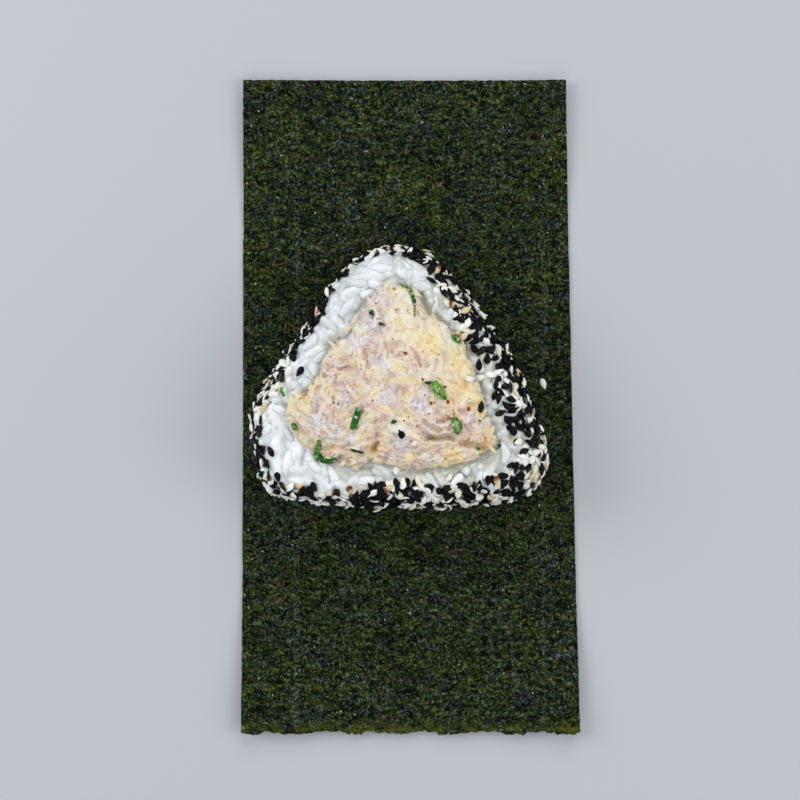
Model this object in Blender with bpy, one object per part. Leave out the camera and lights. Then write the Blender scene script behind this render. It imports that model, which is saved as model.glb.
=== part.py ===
"""An onigiri, lying on the strip of nori that it will be wrapped in.

A triangular rice ball lies on its flat base. A tuna mayonnaise filling sits in a shallow well in its top
and is heaped above the rim. Units are metres, +Z is up, and the origin is on the table under the middle of
the nori. +Y runs along the strip, from its torn end to its cut end, and the rice ball's point is at +Y.
"""

import math

import bmesh
import bpy
import numpy as np
from mathutils import Vector, noise

# Nori strip: half a roasted sheet, cut on three sides and left with its natural edge at the near end.
NORI_LENGTH = 0.204
NORI_THICKNESS = 0.0004
NORI_NEAR_HALF_WIDTH = 0.0526
NORI_FAR_LEFT = 0.0520
NORI_FAR_RIGHT = 0.0482
NORI_TORN_DEPTH = 0.0018
NORI_TORN_FROM = 0.88  # share of the half length past which the torn edge shows
NORI_TONGUES = 7.3  # tongues of the torn edge on each side of the middle
NORI_FLAT_SHARE = 0.52  # share of the half length that lies flat on the table
NORI_NEAR_LIFT = 0.0036  # how far the near corners curl up
NORI_FAR_LIFT = 0.0026  # and the far corners
NORI_MIDDLE_LIFT = 0.45  # lift of an end's middle, as a share of its corners'
NORI_CELLS_ACROSS = 24
NORI_CELLS_ALONG = 22

# Rice ball: the outline is the smooth hull of round lobes, given as (x, y, radius) about its own centre.
RICE_CENTRE = Vector((-0.0039, 0.0097, 0.0))
RICE_LOBES = (
    (-0.0007, 0.0198, 0.0196),  # point
    (0.0246, -0.0037, 0.0136),  # bulge of the right side
    (0.0322, -0.0252, 0.0128),  # right corner
    (-0.0012, -0.0237, 0.0156),  # long base side
    (-0.0291, -0.0232, 0.0143),  # left corner, lower part
    (-0.0294, -0.0147, 0.0153),  # left corner, upper part
)
LOBE_BLEND = 0.0008
RICE_HEIGHT = 0.0272
RICE_WAIST = 0.0105  # height of the widest ring above the base
FOOT_INSET = 0.0042
SHOULDER_NARROW = 0.0064  # how far the top edge is rounded in, on the steep left side
SHOULDER_WIDE = 0.0105  # and on the sloping right side
SHOULDER_WIDE_AT = math.radians(20)
SHOULDER_SHARE = 0.66  # the shoulder takes at most this much of the rice between side and filling
PROFILE_POWER = 0.90  # below 1 makes the side fuller than an ellipse
RICE_RELIEF = 0.0011
GRAIN_SIZE = 0.0044
CLUMP_SIZE = 0.0150

# Well in the top of the rice, and the filling in it: its outline runs round the rice ball's centre.
WELL_DEPTH = 0.0050
WELL_LIP = 0.0016  # width of the rounded rice lip round the well
RIM_FALL = 0.0007  # how far the top slopes down from the shoulder to the well
FILLING_OUTLINE = (
    (0.0215, 0.0015),
    (0.0178, 0.0115),
    (0.0080, 0.0195),
    (0.0040, 0.0256),
    (-0.0034, 0.0267),
    (-0.0090, 0.0208),
    (-0.0122, 0.0152),
    (-0.0142, 0.0110),
    (-0.0184, 0.0088),
    (-0.0214, 0.0036),
    (-0.0240, -0.0028),
    (-0.0322, -0.0075),
    (-0.0292, -0.0185),
    (-0.0160, -0.0266),
    (-0.0060, -0.0250),
    (0.0095, -0.0276),
    (0.0262, -0.0222),
    (0.0272, -0.0145),
)
HEAP_HEIGHT = 0.0056  # top of the filling above the rim of the well
HEAP_EDGE_POWER = 0.42  # below 1 makes the heap's edge steep and its top broad
HEAP_RELIEF = 0.0008

TOUCH_GAP = 0.0003
POINTS_ROUND = 88
FOOT_RINGS = 5
SIDE_RINGS = 10
OUTLINE_SAMPLES = 1440

BASE_Z = NORI_THICKNESS + TOUCH_GAP
RIM_Z = BASE_Z + RICE_HEIGHT


def clear_scene():
    """Remove every object of the open file."""
    for old in list(bpy.data.objects):
        bpy.data.objects.remove(old)


def finish(name, colour, roughness):
    """Return a plain Principled material."""
    material = bpy.data.materials.new(name)
    material.use_nodes = True
    shader = material.node_tree.nodes["Principled BSDF"]
    shader.inputs["Base Color"].default_value = (*colour, 1.0)
    shader.inputs["Roughness"].default_value = roughness
    shader.inputs["Metallic"].default_value = 0.0
    return material


def smooth_step(value):
    """Ease a value from 0 to 1."""
    value = min(1.0, max(0.0, value))
    return value * value * (3.0 - 2.0 * value)


def add_object(name, bm, material):
    """Put a finished bmesh in the scene as one object with its faces pointing out."""
    bmesh.ops.recalc_face_normals(bm, faces=bm.faces)
    mesh = bpy.data.meshes.new(name)
    bm.to_mesh(mesh)
    bm.free()
    mesh.materials.append(material)
    mesh.shade_smooth()
    mesh.set_sharp_from_angle(angle=math.radians(40))
    result = bpy.data.objects.new(name, mesh)
    bpy.context.scene.collection.objects.link(result)
    return result


def loft(name, rings, material):
    """Skin a stack of equal rings and close its two ends with flat caps."""
    bm = bmesh.new()
    rows = [[bm.verts.new(point) for point in ring] for ring in rings]
    for lower, upper in zip(rows, rows[1:]):
        for i in range(len(lower)):
            after = (i + 1) % len(lower)
            bm.faces.new((lower[i], lower[after], upper[after], upper[i]))
    bm.faces.new(rows[0])
    bm.faces.new(rows[-1])
    return add_object(name, bm, material)


# ---------------------------------------------------------------- outlines seen from above


def ring_angles():
    """Angles round the rice ball's centre that every ring shares."""
    return np.linspace(0.0, 2.0 * math.pi, POINTS_ROUND, endpoint=False)


def radii_of(points):
    """Distance from the centre to a closed outline at each ring angle."""
    angles = np.arctan2(points[:, 1], points[:, 0]) % (2.0 * math.pi)
    order = np.argsort(angles)
    reach = np.hypot(points[:, 0], points[:, 1])
    return np.interp(ring_angles(), angles[order], reach[order], period=2.0 * math.pi)


def rice_radii(inset=0.0):
    """The rice ball's outline, moved inwards by an even distance: the smooth hull of its lobes."""
    turn = np.linspace(0.0, 2.0 * math.pi, OUTLINE_SAMPLES, endpoint=False)
    normal = np.stack((np.cos(turn), np.sin(turn)), axis=1)
    tangent = np.stack((-np.sin(turn), np.cos(turn)), axis=1)
    lobes = np.array(RICE_LOBES)
    centres = lobes[:, :2]
    reach = centres @ normal.T + lobes[:, 2:]
    furthest = reach.max(axis=0)
    weight = np.exp((reach - furthest) / LOBE_BLEND)
    support = furthest + LOBE_BLEND * np.log(weight.sum(axis=0))
    slide = (weight * (centres @ tangent.T)).sum(axis=0) / weight.sum(axis=0)
    return radii_of((support - inset)[:, None] * normal + slide[:, None] * tangent)


def filling_radii():
    """The filling's outline: a closed spline through its points."""
    knots = [Vector(point) for point in FILLING_OUTLINE]
    per_span = OUTLINE_SAMPLES // len(knots)
    curve = []
    for i, here in enumerate(knots):
        before, after, beyond = knots[i - 1], knots[(i + 1) % len(knots)], knots[(i + 2) % len(knots)]
        for step in range(per_span):
            t = step / per_span
            bend = 2.0 * before - 5.0 * here + 4.0 * after - beyond
            twist = 3.0 * here - before - 3.0 * after + beyond
            curve.append(here + 0.5 * (t * (after - before) + t * t * bend + t * t * t * twist))
    return radii_of(np.array([tuple(point) for point in curve]))


def ring(radii, heights):
    """Points of a ring round the rice ball's centre, from its radii and heights."""
    heights = np.broadcast_to(heights, radii.shape)
    return [
        RICE_CENTRE + Vector((reach * math.cos(angle), reach * math.sin(angle), height))
        for angle, reach, height in zip(ring_angles(), radii, heights)
    ]


def shoulder_radii(share):
    """The rice ball's outline rounded in by a share of its shoulder, which is widest on the right."""
    outer = rice_radii()
    lean = 0.5 + 0.5 * np.cos(ring_angles() - SHOULDER_WIDE_AT)
    width = SHOULDER_NARROW + (SHOULDER_WIDE - SHOULDER_NARROW) * lean**2
    width = np.minimum(width, SHOULDER_SHARE * (outer - filling_radii()))
    return outer + (rice_radii(SHOULDER_NARROW) - outer) * share * width / SHOULDER_NARROW


# ---------------------------------------------------------------- the three pieces


def relief(points, depth):
    """Push points in or out from the ball's middle, by smooth noise the size of a grain and of a clump."""
    middle = RICE_CENTRE + Vector((0.0, 0.0, RICE_WAIST))
    moved = []
    for point in points:
        push = noise.noise(point / GRAIN_SIZE) + 0.5 * noise.noise(point / CLUMP_SIZE)
        moved.append(point + (point - middle).normalized() * (push * depth))
    return moved


def rice_rings():
    """Rings of the rice ball: up the side, over the shoulder, into the well and to its floor."""
    quarter = math.pi / 2.0
    rings = []
    for step in range(FOOT_RINGS):
        angle = quarter * (1.0 - step / FOOT_RINGS)
        inset = FOOT_INSET * (1.0 - math.cos(angle) ** PROFILE_POWER)
        above = RICE_WAIST * (1.0 - math.sin(angle) ** PROFILE_POWER)
        rough = RICE_RELIEF * smooth_step(above / RICE_WAIST)
        rings.append(relief(ring(rice_radii(inset), BASE_Z + above), rough))
    rise = RICE_HEIGHT - RICE_WAIST
    for step in range(SIDE_RINGS):
        angle = quarter * step / SIDE_RINGS
        radii = shoulder_radii(1.0 - math.cos(angle) ** PROFILE_POWER)
        height = BASE_Z + RICE_WAIST + rise * math.sin(angle) ** PROFILE_POWER
        rings.append(relief(ring(radii, height), RICE_RELIEF))
    edge = shoulder_radii(1.0)
    lip = filling_radii() + TOUCH_GAP + WELL_LIP
    for share in (0.0, 0.5, 1.0):
        radii = edge + (lip - edge) * share
        rings.append(relief(ring(radii, RIM_Z - RIM_FALL * share), RICE_RELIEF * (1.0 - 0.6 * share)))
    wall = filling_radii() + TOUCH_GAP
    for turned in (0.5, 1.0):
        angle = quarter * turned
        radii = wall + WELL_LIP * (1.0 - math.sin(angle))
        rings.append(ring(radii, RIM_Z - RIM_FALL - WELL_LIP * (1.0 - math.cos(angle))))
    floor_z = RIM_Z - RIM_FALL - WELL_DEPTH
    rings.append(ring(wall, floor_z))
    return rings


def filling_rings():
    """Rings of the filling: up the wall of the well, over the heap's edge and in to its top."""
    outline = filling_radii()
    rim_z = RIM_Z - RIM_FALL
    rings = [ring(outline, rim_z - WELL_DEPTH + TOUCH_GAP), ring(outline, rim_z)]
    for share in (0.985, 0.95, 0.89, 0.80, 0.69, 0.57, 0.44, 0.31, 0.18, 0.07):
        height = rim_z + HEAP_HEIGHT * (1.0 - share * share) ** HEAP_EDGE_POWER
        rings.append(relief(ring(outline * share, height), HEAP_RELIEF))
    return rings


def torn_edge(across):
    """How far the natural near edge of the strip falls short of its longest tongue."""
    return NORI_TORN_DEPTH * (0.5 + noise.noise(Vector((across * NORI_TONGUES, 0.0, 0.0))))


def nori_point(across, along, top):
    """A point of the strip: across and along run from -1 to 1, top is 0 on its underside and 1 on its face."""
    half_far = NORI_FAR_LEFT if across < 0.0 else NORI_FAR_RIGHT
    half_width = NORI_NEAR_HALF_WIDTH + (half_far - NORI_NEAR_HALF_WIDTH) * (0.5 + 0.5 * along)
    ending = smooth_step((abs(along) - NORI_FLAT_SHARE) / (1.0 - NORI_FLAT_SHARE))
    lift = NORI_FAR_LIFT if along > 0.0 else NORI_NEAR_LIFT
    curl = NORI_MIDDLE_LIFT + (1.0 - NORI_MIDDLE_LIFT) * across * across
    shortened = torn_edge(across) * smooth_step((-along - NORI_TORN_FROM) / (1.0 - NORI_TORN_FROM))
    return Vector((
        across * half_width,
        along * NORI_LENGTH / 2.0 + shortened,
        lift * ending * curl + NORI_THICKNESS * top,
    ))


def build_nori():
    """The strip: a grid face and underside joined by a thin edge all round."""
    bm = bmesh.new()
    for top in (0, 1):
        rows = []
        for row in range(NORI_CELLS_ALONG + 1):
            along = 2.0 * row / NORI_CELLS_ALONG - 1.0
            rows.append([
                bm.verts.new(nori_point(2.0 * col / NORI_CELLS_ACROSS - 1.0, along, top))
                for col in range(NORI_CELLS_ACROSS + 1)
            ])
        for near, far in zip(rows, rows[1:]):
            for col in range(NORI_CELLS_ACROSS):
                bm.faces.new((near[col], near[col + 1], far[col + 1], far[col]))
    border = [edge for edge in bm.edges if edge.is_boundary]
    bmesh.ops.bridge_loops(bm, edges=border)
    return add_object("nori_strip", bm, finish("nori", (0.018, 0.028, 0.014), 0.45))


def build():
    """Make the whole object."""
    clear_scene()
    build_nori()
    loft("rice_ball", rice_rings(), finish("rice", (0.82, 0.83, 0.82), 0.35))
    loft("tuna_filling", filling_rings(), finish("tuna_mayonnaise", (0.72, 0.58, 0.42), 0.4))


build()
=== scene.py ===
# %% [markdown]
# # An onigiri on its strip of nori
#
# An onigiri is cooked rice pressed in a three-cornered mould. This one has its sides rolled in black and
# white sesame, a well in its top heaped with tuna mayonnaise, and it lies on the half sheet of nori that it
# will be wrapped in.
#
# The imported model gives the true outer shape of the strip, the rice ball and the filling. This script
# dresses them: separate grains and seeds where the model has one solid, shreds of fish, chopped spring onion,
# and a finish for each. Lengths are in metres, and +Z is up.

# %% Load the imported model
import math

import bmesh
import bpy
import numpy as np
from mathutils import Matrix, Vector, noise
from mathutils.bvhtree import BVHTree
from mathutils.kdtree import KDTree


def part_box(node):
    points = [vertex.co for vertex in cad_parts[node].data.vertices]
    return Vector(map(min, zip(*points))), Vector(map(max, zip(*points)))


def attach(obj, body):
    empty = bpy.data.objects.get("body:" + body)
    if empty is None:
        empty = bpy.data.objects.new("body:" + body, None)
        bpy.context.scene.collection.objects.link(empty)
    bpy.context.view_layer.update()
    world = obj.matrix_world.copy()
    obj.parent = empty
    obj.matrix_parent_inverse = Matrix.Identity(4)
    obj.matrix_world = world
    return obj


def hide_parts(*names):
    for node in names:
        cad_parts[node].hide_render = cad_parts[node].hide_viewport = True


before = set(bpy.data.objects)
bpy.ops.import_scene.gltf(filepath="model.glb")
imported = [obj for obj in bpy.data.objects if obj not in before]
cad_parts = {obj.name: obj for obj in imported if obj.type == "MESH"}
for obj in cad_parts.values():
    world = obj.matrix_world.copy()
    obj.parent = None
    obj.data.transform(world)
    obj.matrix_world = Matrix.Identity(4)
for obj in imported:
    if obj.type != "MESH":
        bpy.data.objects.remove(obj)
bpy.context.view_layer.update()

MM = 0.001
UP = np.array((0.0, 0.0, 1.0))
print("nodes:", sorted(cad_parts))

# %% [markdown]
# ## Camera
#
# The onigiri is looked at from straight above, a little over half a metre away. A long lens keeps the sides
# of the ball from spreading.

# %% Camera
CAMERA_HEIGHT = 550 * MM
CAMERA_OVER = (-3.3 * MM, 2.5 * MM)
LENS = 79.2

bpy.ops.object.camera_add(location=(*CAMERA_OVER, CAMERA_HEIGHT), rotation=(0.0, 0.0, 0.0))
camera = bpy.context.object
camera.data.lens = LENS
camera.data.clip_start = 0.01
bpy.context.scene.camera = camera

# %% [markdown]
# ## Sums on shader sockets
#
# A finish is a small network of nodes. Wiring nodes one by one hides the idea, so this class wraps one output
# socket and lets Python's operators add the Math nodes: `1 - mask * 0.5` reads as what it does. Every other
# node comes from `node()`, which sets the node's own settings first and then its sockets.

# %% A class for shader sums
MIX_COLOUR = {"data_type": "RGBA"}


class Shade:
    """One output socket of a finish. Sums on it add Math nodes."""

    def __init__(self, tree, socket):
        self.tree = tree
        self.socket = socket

    def node(self, kind, settings=None, sockets=None, out=0):
        """Add a node: its settings first, then values or links for its sockets. Returns one output."""
        made = self.tree.nodes.new(kind)
        for name, value in (settings or {}).items():
            if name == "stops":
                set_stops(made.color_ramp.elements, value)
            else:
                setattr(made, name, value)
        for name, value in (sockets or {}).items():
            if isinstance(value, Shade):
                self.tree.links.new(value.socket, made.inputs[name])
            else:
                made.inputs[name].default_value = value
        return Shade(self.tree, made.outputs[out])

    def sum(self, operation, first, second):
        """A Math node on two values."""
        return self.node("ShaderNodeMath", {"operation": operation}, {0: first, 1: second})

    def __add__(self, other):
        return self.sum("ADD", self, other)

    def __radd__(self, other):
        return self.sum("ADD", other, self)

    def __sub__(self, other):
        return self.sum("SUBTRACT", self, other)

    def __rsub__(self, other):
        return self.sum("SUBTRACT", other, self)

    def __mul__(self, other):
        return self.sum("MULTIPLY", self, other)

    def __rmul__(self, other):
        return self.sum("MULTIPLY", other, self)

    def fade(self, low, high):
        """0 below low, 1 above high, and smooth between. With low above high it runs the other way."""
        return self.node(
            "ShaderNodeMapRange", {"interpolation_type": "SMOOTHSTEP"}, {0: self, 1: low, 2: high}
        )

    def ramp(self, *stops):
        """A colour for each value, from (value, colour) stops."""
        return self.node("ShaderNodeValToRGB", {"stops": stops}, {0: self})

    def blend(self, under, over):
        """The colour under where this value is 0, and over where it is 1."""
        return self.node("ShaderNodeMix", MIX_COLOUR, {0: self, 6: rgba(under), 7: rgba(over)}, out=2)

    def times(self, colour, tint):
        """A colour multiplied by a tint, as far as this value says."""
        settings = {"data_type": "RGBA", "blend_type": "MULTIPLY"}
        return self.node("ShaderNodeMix", settings, {0: self, 6: rgba(colour), 7: rgba(tint)}, out=2)

    def cloud(self, size, detail=2.0, rough=0.5, shift=0.0):
        """Soft noise of about this size, read at this position. shift gives another pattern."""
        place = self
        if shift:
            place = self.node("ShaderNodeVectorMath", {"operation": "ADD"}, {0: self, 1: (shift,) * 3})
        sockets = {"Vector": place, "Scale": 1.0 / size, "Detail": detail, "Roughness": rough}
        return self.node("ShaderNodeTexNoise", None, sockets)

    def cells(self, size, out="Distance"):
        """Voronoi cells of about this size: the distance from each one's middle, or its random colour."""
        return self.node("ShaderNodeTexVoronoi", None, {"Vector": self, "Scale": 1.0 / size}, out=out)

    def warped(self, size, amount):
        """This position pushed about by noise, which makes straight patterns wander."""
        push = self.node("ShaderNodeTexNoise", None, {"Vector": self, "Scale": 1.0 / size}, out="Color")
        centred = self.node("ShaderNodeVectorMath", {"operation": "SUBTRACT"}, {0: push, 1: (0.5,) * 3})
        scaled = self.node("ShaderNodeVectorMath", {"operation": "SCALE"}, {0: centred, "Scale": amount})
        return self.node("ShaderNodeVectorMath", {"operation": "ADD"}, {0: self, 1: scaled})


def set_stops(elements, stops):
    """Fill a colour ramp from (place, colour) stops."""
    while len(elements) < len(stops):
        elements.new(1.0)
    for element, (place, colour) in zip(elements, stops):
        element.position = place
        element.color = rgba(colour)


def rgba(colour):
    """A colour with its alpha, from three numbers. A Shade passes through."""
    return colour if isinstance(colour, Shade) else (*colour[:3], 1.0)


def new_finish(name, **fixed):
    """A material with a Principled shader. Returns the material, its shader and the Object coordinates."""
    material = bpy.data.materials.new(name)
    material.use_nodes = True
    tree = material.node_tree
    shader = tree.nodes["Principled BSDF"]
    for socket, value in fixed.items():
        shader.inputs[socket.replace("_", " ")].default_value = value
    place = Shade(tree, tree.nodes.new("ShaderNodeTexCoord").outputs["Object"])
    return material, shader, place


def attribute(shade, name):
    """A value stored on the mesh's points."""
    return shade.node("ShaderNodeAttribute", {"attribute_name": name}, out="Fac")


def feed(shader, **values):
    """Link Shades to the shader's sockets."""
    for name, value in values.items():
        value.tree.links.new(value.socket, shader.inputs[name.replace("_", " ")])


def raised(height, depth, strength=1.0):
    """A normal from a height between 0 and 1 that stands for this depth in metres."""
    return height.node("ShaderNodeBump", None, {"Height": height, "Distance": depth, "Strength": strength})


# %% [markdown]
# ## Working by hand
#
# These helpers do what a hand does on the screen: select one object alone, pick some of its faces by where
# they are, add a modifier and apply it. Everything is deselected first, because an operator works on all that
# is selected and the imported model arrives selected.

# %% Helpers for modelling
def alone(piece):
    """Leave edit mode and select this object and no other."""
    if bpy.context.object and bpy.context.object.mode == "EDIT":
        bpy.ops.object.mode_set(mode="OBJECT")
    bpy.ops.object.select_all(action="DESELECT")
    piece.select_set(True)
    bpy.context.view_layer.objects.active = piece


def edit(piece):
    """Open one object in edit mode with all of it selected."""
    alone(piece)
    bpy.ops.object.mode_set(mode="EDIT")
    bpy.ops.mesh.select_all(action="SELECT")


def done():
    """Leave edit mode."""
    bpy.ops.object.mode_set(mode="OBJECT")


def pick(piece, kind, wanted):
    """In edit mode, select the VERT, EDGE or FACE parts whose middle and direction pass a test."""
    bpy.ops.mesh.select_mode(type=kind)
    bpy.ops.mesh.select_all(action="DESELECT")
    shape = bmesh.from_edit_mesh(piece.data)
    if kind == "VERT":
        parts = [(part, part.co, part.normal) for part in shape.verts]
    elif kind == "FACE":
        parts = [(part, part.calc_center_median(), part.normal) for part in shape.faces]
    else:
        ends = [(part, part.verts[0].co, part.verts[1].co) for part in shape.edges]
        parts = [(part, (a + b) / 2.0, (b - a).normalized()) for part, a, b in ends]
    for part, middle, direction in parts:
        part.select_set(bool(wanted(middle, direction)))
    bmesh.update_edit_mesh(piece.data)


def modified(piece, kind, **settings):
    """Add a modifier, set it and apply it."""
    alone(piece)
    bpy.ops.object.modifier_add(type=kind)
    modifier = piece.modifiers[-1]
    for name, value in settings.items():
        setattr(modifier, name, value)
    bpy.ops.object.modifier_apply(modifier=modifier.name)


def roughened(piece, size, depth, direction="NORMAL", middle=0.5, group="", detail=2):
    """Push a mesh in and out by soft noise of one size, with the Displace modifier."""
    texture = bpy.data.textures.new(f"{piece.name} {size / MM:.1f} mm", "CLOUDS")
    texture.noise_scale = size
    texture.noise_depth = detail
    modified(
        piece, "DISPLACE", texture=texture, texture_coords="GLOBAL", direction=direction,
        strength=depth, mid_level=middle, vertex_group=group,
    )


def copy_of_node(node, name):
    """A new piece from a CAD node's mesh, with its loose triangles merged into a skin."""
    piece = bpy.data.objects.new(name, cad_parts[node].data.copy())
    bpy.context.scene.collection.objects.link(piece)
    piece.data.materials.clear()
    edit(piece)
    bpy.ops.mesh.customdata_custom_splitnormals_clear()
    bpy.ops.mesh.remove_doubles(threshold=0.01 * MM)
    bpy.ops.mesh.tris_convert_to_quads(face_threshold=math.pi, shape_threshold=math.pi)
    done()
    return piece


def dress(piece, material, slot, *replaced):
    """Give a finished piece its material and body, and hide the CAD nodes it stands for. slot is not used."""
    piece.data.materials.clear()
    piece.data.materials.append(material)
    alone(piece)
    bpy.ops.object.shade_smooth()
    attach(piece, "root")
    if replaced:
        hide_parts(*replaced)
    top = max(point.co.z for point in piece.data.vertices)
    print(f"{piece.name}: {len(piece.data.polygons)} faces, top at {top / MM:.1f} mm")


# %% [markdown]
# ## The strip of nori
#
# Nori is seaweed chopped, spread thin on a mat and dried, so it is a felt of tiny scraps: no thicker than
# card, never quite flat, cut clean on three sides and left torn on the fourth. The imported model's top face
# already has the right outline and curl. It is copied, its underside is deleted, and it is cut into cells
# small enough to take a fine relief and a ragged edge.

# %% Cut the nori into fine cells
nori_low, nori_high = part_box("nori_strip")
NORI_THICKNESS = 0.32 * MM

nori = copy_of_node("nori_strip", "nori")
edit(nori)
pick(nori, "FACE", lambda middle, normal: normal.z < 0.5)
bpy.ops.mesh.delete(type="FACE")
pick(nori, "EDGE", lambda middle, direction: abs(direction.y) > 0.7)
bpy.ops.mesh.subdivide(number_cuts=1)
bpy.ops.mesh.select_all(action="SELECT")
bpy.ops.mesh.subdivide(number_cuts=5)
done()
print("nori cells:", len(nori.data.polygons))

# %% [markdown]
# The torn edge is made by pushing points along the strip by noise. A vertex group says how far each point
# follows: fully at the edge, and not at all a few millimetres in, so the sheet stretches softly into its
# tongues. The cut sides get the same, but barely.

# %% Tear the near edge and roughen the cut ones
TORN_REACH = 7 * MM
CUT_REACH = 1.5 * MM
ROW_REACH = 5 * MM


def weigh(piece, name, weight_of):
    """A vertex group whose weight comes from each point's place."""
    group = piece.vertex_groups.new(name=name)
    for point in piece.data.vertices:
        weight = weight_of(point.co)
        if weight > 0.0:
            group.add([point.index], min(1.0, weight), "REPLACE")


nori_points = np.array([tuple(point.co) for point in nori.data.vertices])
edge_rows = []
for mark in np.linspace(nori_low.y, nori_high.y, 12):
    row = nori_points[np.abs(nori_points[:, 1] - mark) < ROW_REACH]
    edge_rows.append((mark, row[:, 0].min(), row[:, 0].max()))
ROW_Y, LEFT_EDGE, RIGHT_EDGE = np.array(edge_rows).T


def inside_sides(p):
    """How far a point lies in from the nearer long side of the strip."""
    return min(p.x - np.interp(p.y, ROW_Y, LEFT_EDGE), np.interp(p.y, ROW_Y, RIGHT_EDGE) - p.x)


weigh(nori, "torn", lambda p: max(0.0, 1.0 - (p.y - nori_low.y) / TORN_REACH) ** 2)
weigh(nori, "far", lambda p: 1.0 - (nori_high.y - p.y) / CUT_REACH)
weigh(nori, "sides", lambda p: 1.0 - inside_sides(p) / CUT_REACH)
roughened(nori, 2.6 * MM, 2.6 * MM, "Y", 0.45, "torn")
roughened(nori, 1.1 * MM, 1.9 * MM, "Y", 0.5, "torn")
roughened(nori, 1.6 * MM, 0.5 * MM, "Y", 0.5, "far")
roughened(nori, 1.9 * MM, 0.5 * MM, "X", 0.5, "sides")
print("width in mm at both ends:", ((RIGHT_EDGE - LEFT_EDGE)[[0, -1]] / MM).round(1))

# %% [markdown]
# Three sizes of noise then lift the sheet: broad waves from drying, the unevenness of the mat, and the felt
# of scraps itself. The middle level of 0.3 keeps most of the sheet near the table. Solidify gives it its
# back and its edges last, so that both faces follow the same waves.

# %% Give the nori its waves, its felt and its thickness
roughened(nori, 14 * MM, 0.55 * MM, "Z", 0.3)
roughened(nori, 3.2 * MM, 0.30 * MM, "Z", 0.3)
roughened(nori, 1.3 * MM, 0.16 * MM, "Z", 0.3)
modified(nori, "SOLIDIFY", thickness=NORI_THICKNESS, offset=-1.0)
print("nori thickness in mm:", NORI_THICKNESS / MM)

# %% [markdown]
# The colour of nori is a mottle of scraps: near black where they lie thick, moss green and olive where they
# are thin, with purple-grey and blue-grey ones between. Each kind is a noise of its own, at the scale of the
# scraps. The position is squeezed before the noise reads it, which draws the scraps out across the strip, and
# it is warped, so that no scrap has a straight edge.

# %% Scraps of the nori
nori_finish, shader, place = new_finish("nori felt", Specular_IOR_Level=0.05)
drift = place.warped(2.5 * MM, 1.8 * MM)
lying = place.node("ShaderNodeVectorMath", {"operation": "MULTIPLY"}, {0: drift, 1: (0.58, 1.0, 1.0)})
scraps = lying.cloud(1.55 * MM, 4.0, 0.62)
flecks = drift.cloud(0.85 * MM, 2.0, 0.60, shift=3.1)
hue = lying.cloud(2.6 * MM, 4.0, 0.70, shift=7.7)
wide = place.cloud(14 * MM, 3.0, 0.55, shift=1.3)

kinds = hue.ramp(
    (0.34, (0.0190, 0.0160, 0.0210)),
    (0.41, (0.0110, 0.0190, 0.0190)),
    (0.46, (0.0070, 0.0230, 0.0065)),
    (0.51, (0.0240, 0.0330, 0.0020)),
    (0.55, (0.0110, 0.0300, 0.0070)),
    (0.60, (0.0450, 0.0360, 0.0120)),
    (0.66, (0.0300, 0.0260, 0.0310)),
    (0.72, (0.0340, 0.0460, 0.0520)),
)
pale_kinds = hue.ramp(
    (0.36, (0.1350, 0.1230, 0.1500)),
    (0.44, (0.1000, 0.1600, 0.1200)),
    (0.51, (0.1350, 0.1700, 0.0440)),
    (0.57, (0.1100, 0.1650, 0.0950)),
    (0.68, (0.2200, 0.2000, 0.1800)),
)
thick = (scraps * 0.62 + flecks * 0.38).fade(0.515, 0.43)
colour = (thick * 0.96).blend(kinds, (0.0012, 0.0020, 0.0016))
pale = (scraps * 0.40 + flecks * 0.60).fade(0.535, 0.66)
colour = (pale * 0.90).blend(colour, pale_kinds)
print("nodes in the nori's finish so far:", len(nori_finish.node_tree.nodes))

# %% [markdown]
# Finer things lie over the scraps: threads, the yellower torn edge where the sheet is thin, lines from the
# mat, and tiny glints, which are painted highlights in the colour where a scrap would lie like a mirror. Last
# come broad patches that are more olive, or darker. They multiply the colour, because a plain blend would
# wash the mottle out.

# %% Threads, mat lines, painted glints and tints of the nori
# Thin threads lie where a noise crosses its middle value, and only in patches.
crossing = drift.cloud(1.5 * MM, 2.0, 0.6, shift=11.0) - 0.5
thread = (crossing * crossing).fade(0.0012, 0.0) * flecks.fade(0.47, 0.58)
colour = (thread * 0.65).blend(colour, (0.120, 0.145, 0.110))

across = place.node("ShaderNodeSeparateXYZ", None, {0: place}, out="X")
along = place.node("ShaderNodeSeparateXYZ", None, {0: place}, out="Y")
thin = along.fade(nori_low.y + 6 * MM, nori_low.y + 0.5 * MM) * hue.fade(0.40, 0.60)
colour = (thin * 0.70).blend(colour, (0.090, 0.110, 0.014))

# The mat that the sheet dried on leaves two paler lines along it, given by place and width.
line = 0.0
for x, width in ((-35.5 * MM, 1.3 * MM), (41.4 * MM, 1.1 * MM)):
    off = (across - x) + (hue - 0.5) * (2.0 * MM)
    line = line + (off * off).fade(width * width, 0.0)
colour = (line * flecks.fade(0.46, 0.60) * 0.55).blend(colour, (0.085, 0.105, 0.085))

# The glints are painted highlights: a few tiny cells are made pale in the base colour, and a little smoother.
GLINT_CELL = 1.15 * MM
glint_pick = drift.cells(GLINT_CELL, out="Color")
lucky = place.node("ShaderNodeSeparateColor", None, {0: glint_pick}).fade(0.955, 1.0)
painted_glint = lucky * drift.cells(GLINT_CELL).fade(0.34, 0.10)
colour = (painted_glint * 0.9).blend(colour, (0.50, 0.56, 0.44))

olive = place.warped(9 * MM, 6 * MM).cloud(11 * MM, 2.0, 0.50, shift=17.0).fade(0.46, 0.66)
colour = olive.times(colour, (1.15, 1.14, 0.72))
colour = (wide.fade(0.70, 0.30) * 0.45).times(colour, (0.25, 0.25, 0.25))
feed(
    shader,
    Base_Color=colour,
    Roughness=0.62 - pale * 0.22 - painted_glint * 0.2,
    Normal=raised(scraps * 0.6 + flecks * 0.5, 0.40 * MM, 0.9),
)
dress(nori, nori_finish, "nori", "nori_strip")

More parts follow.
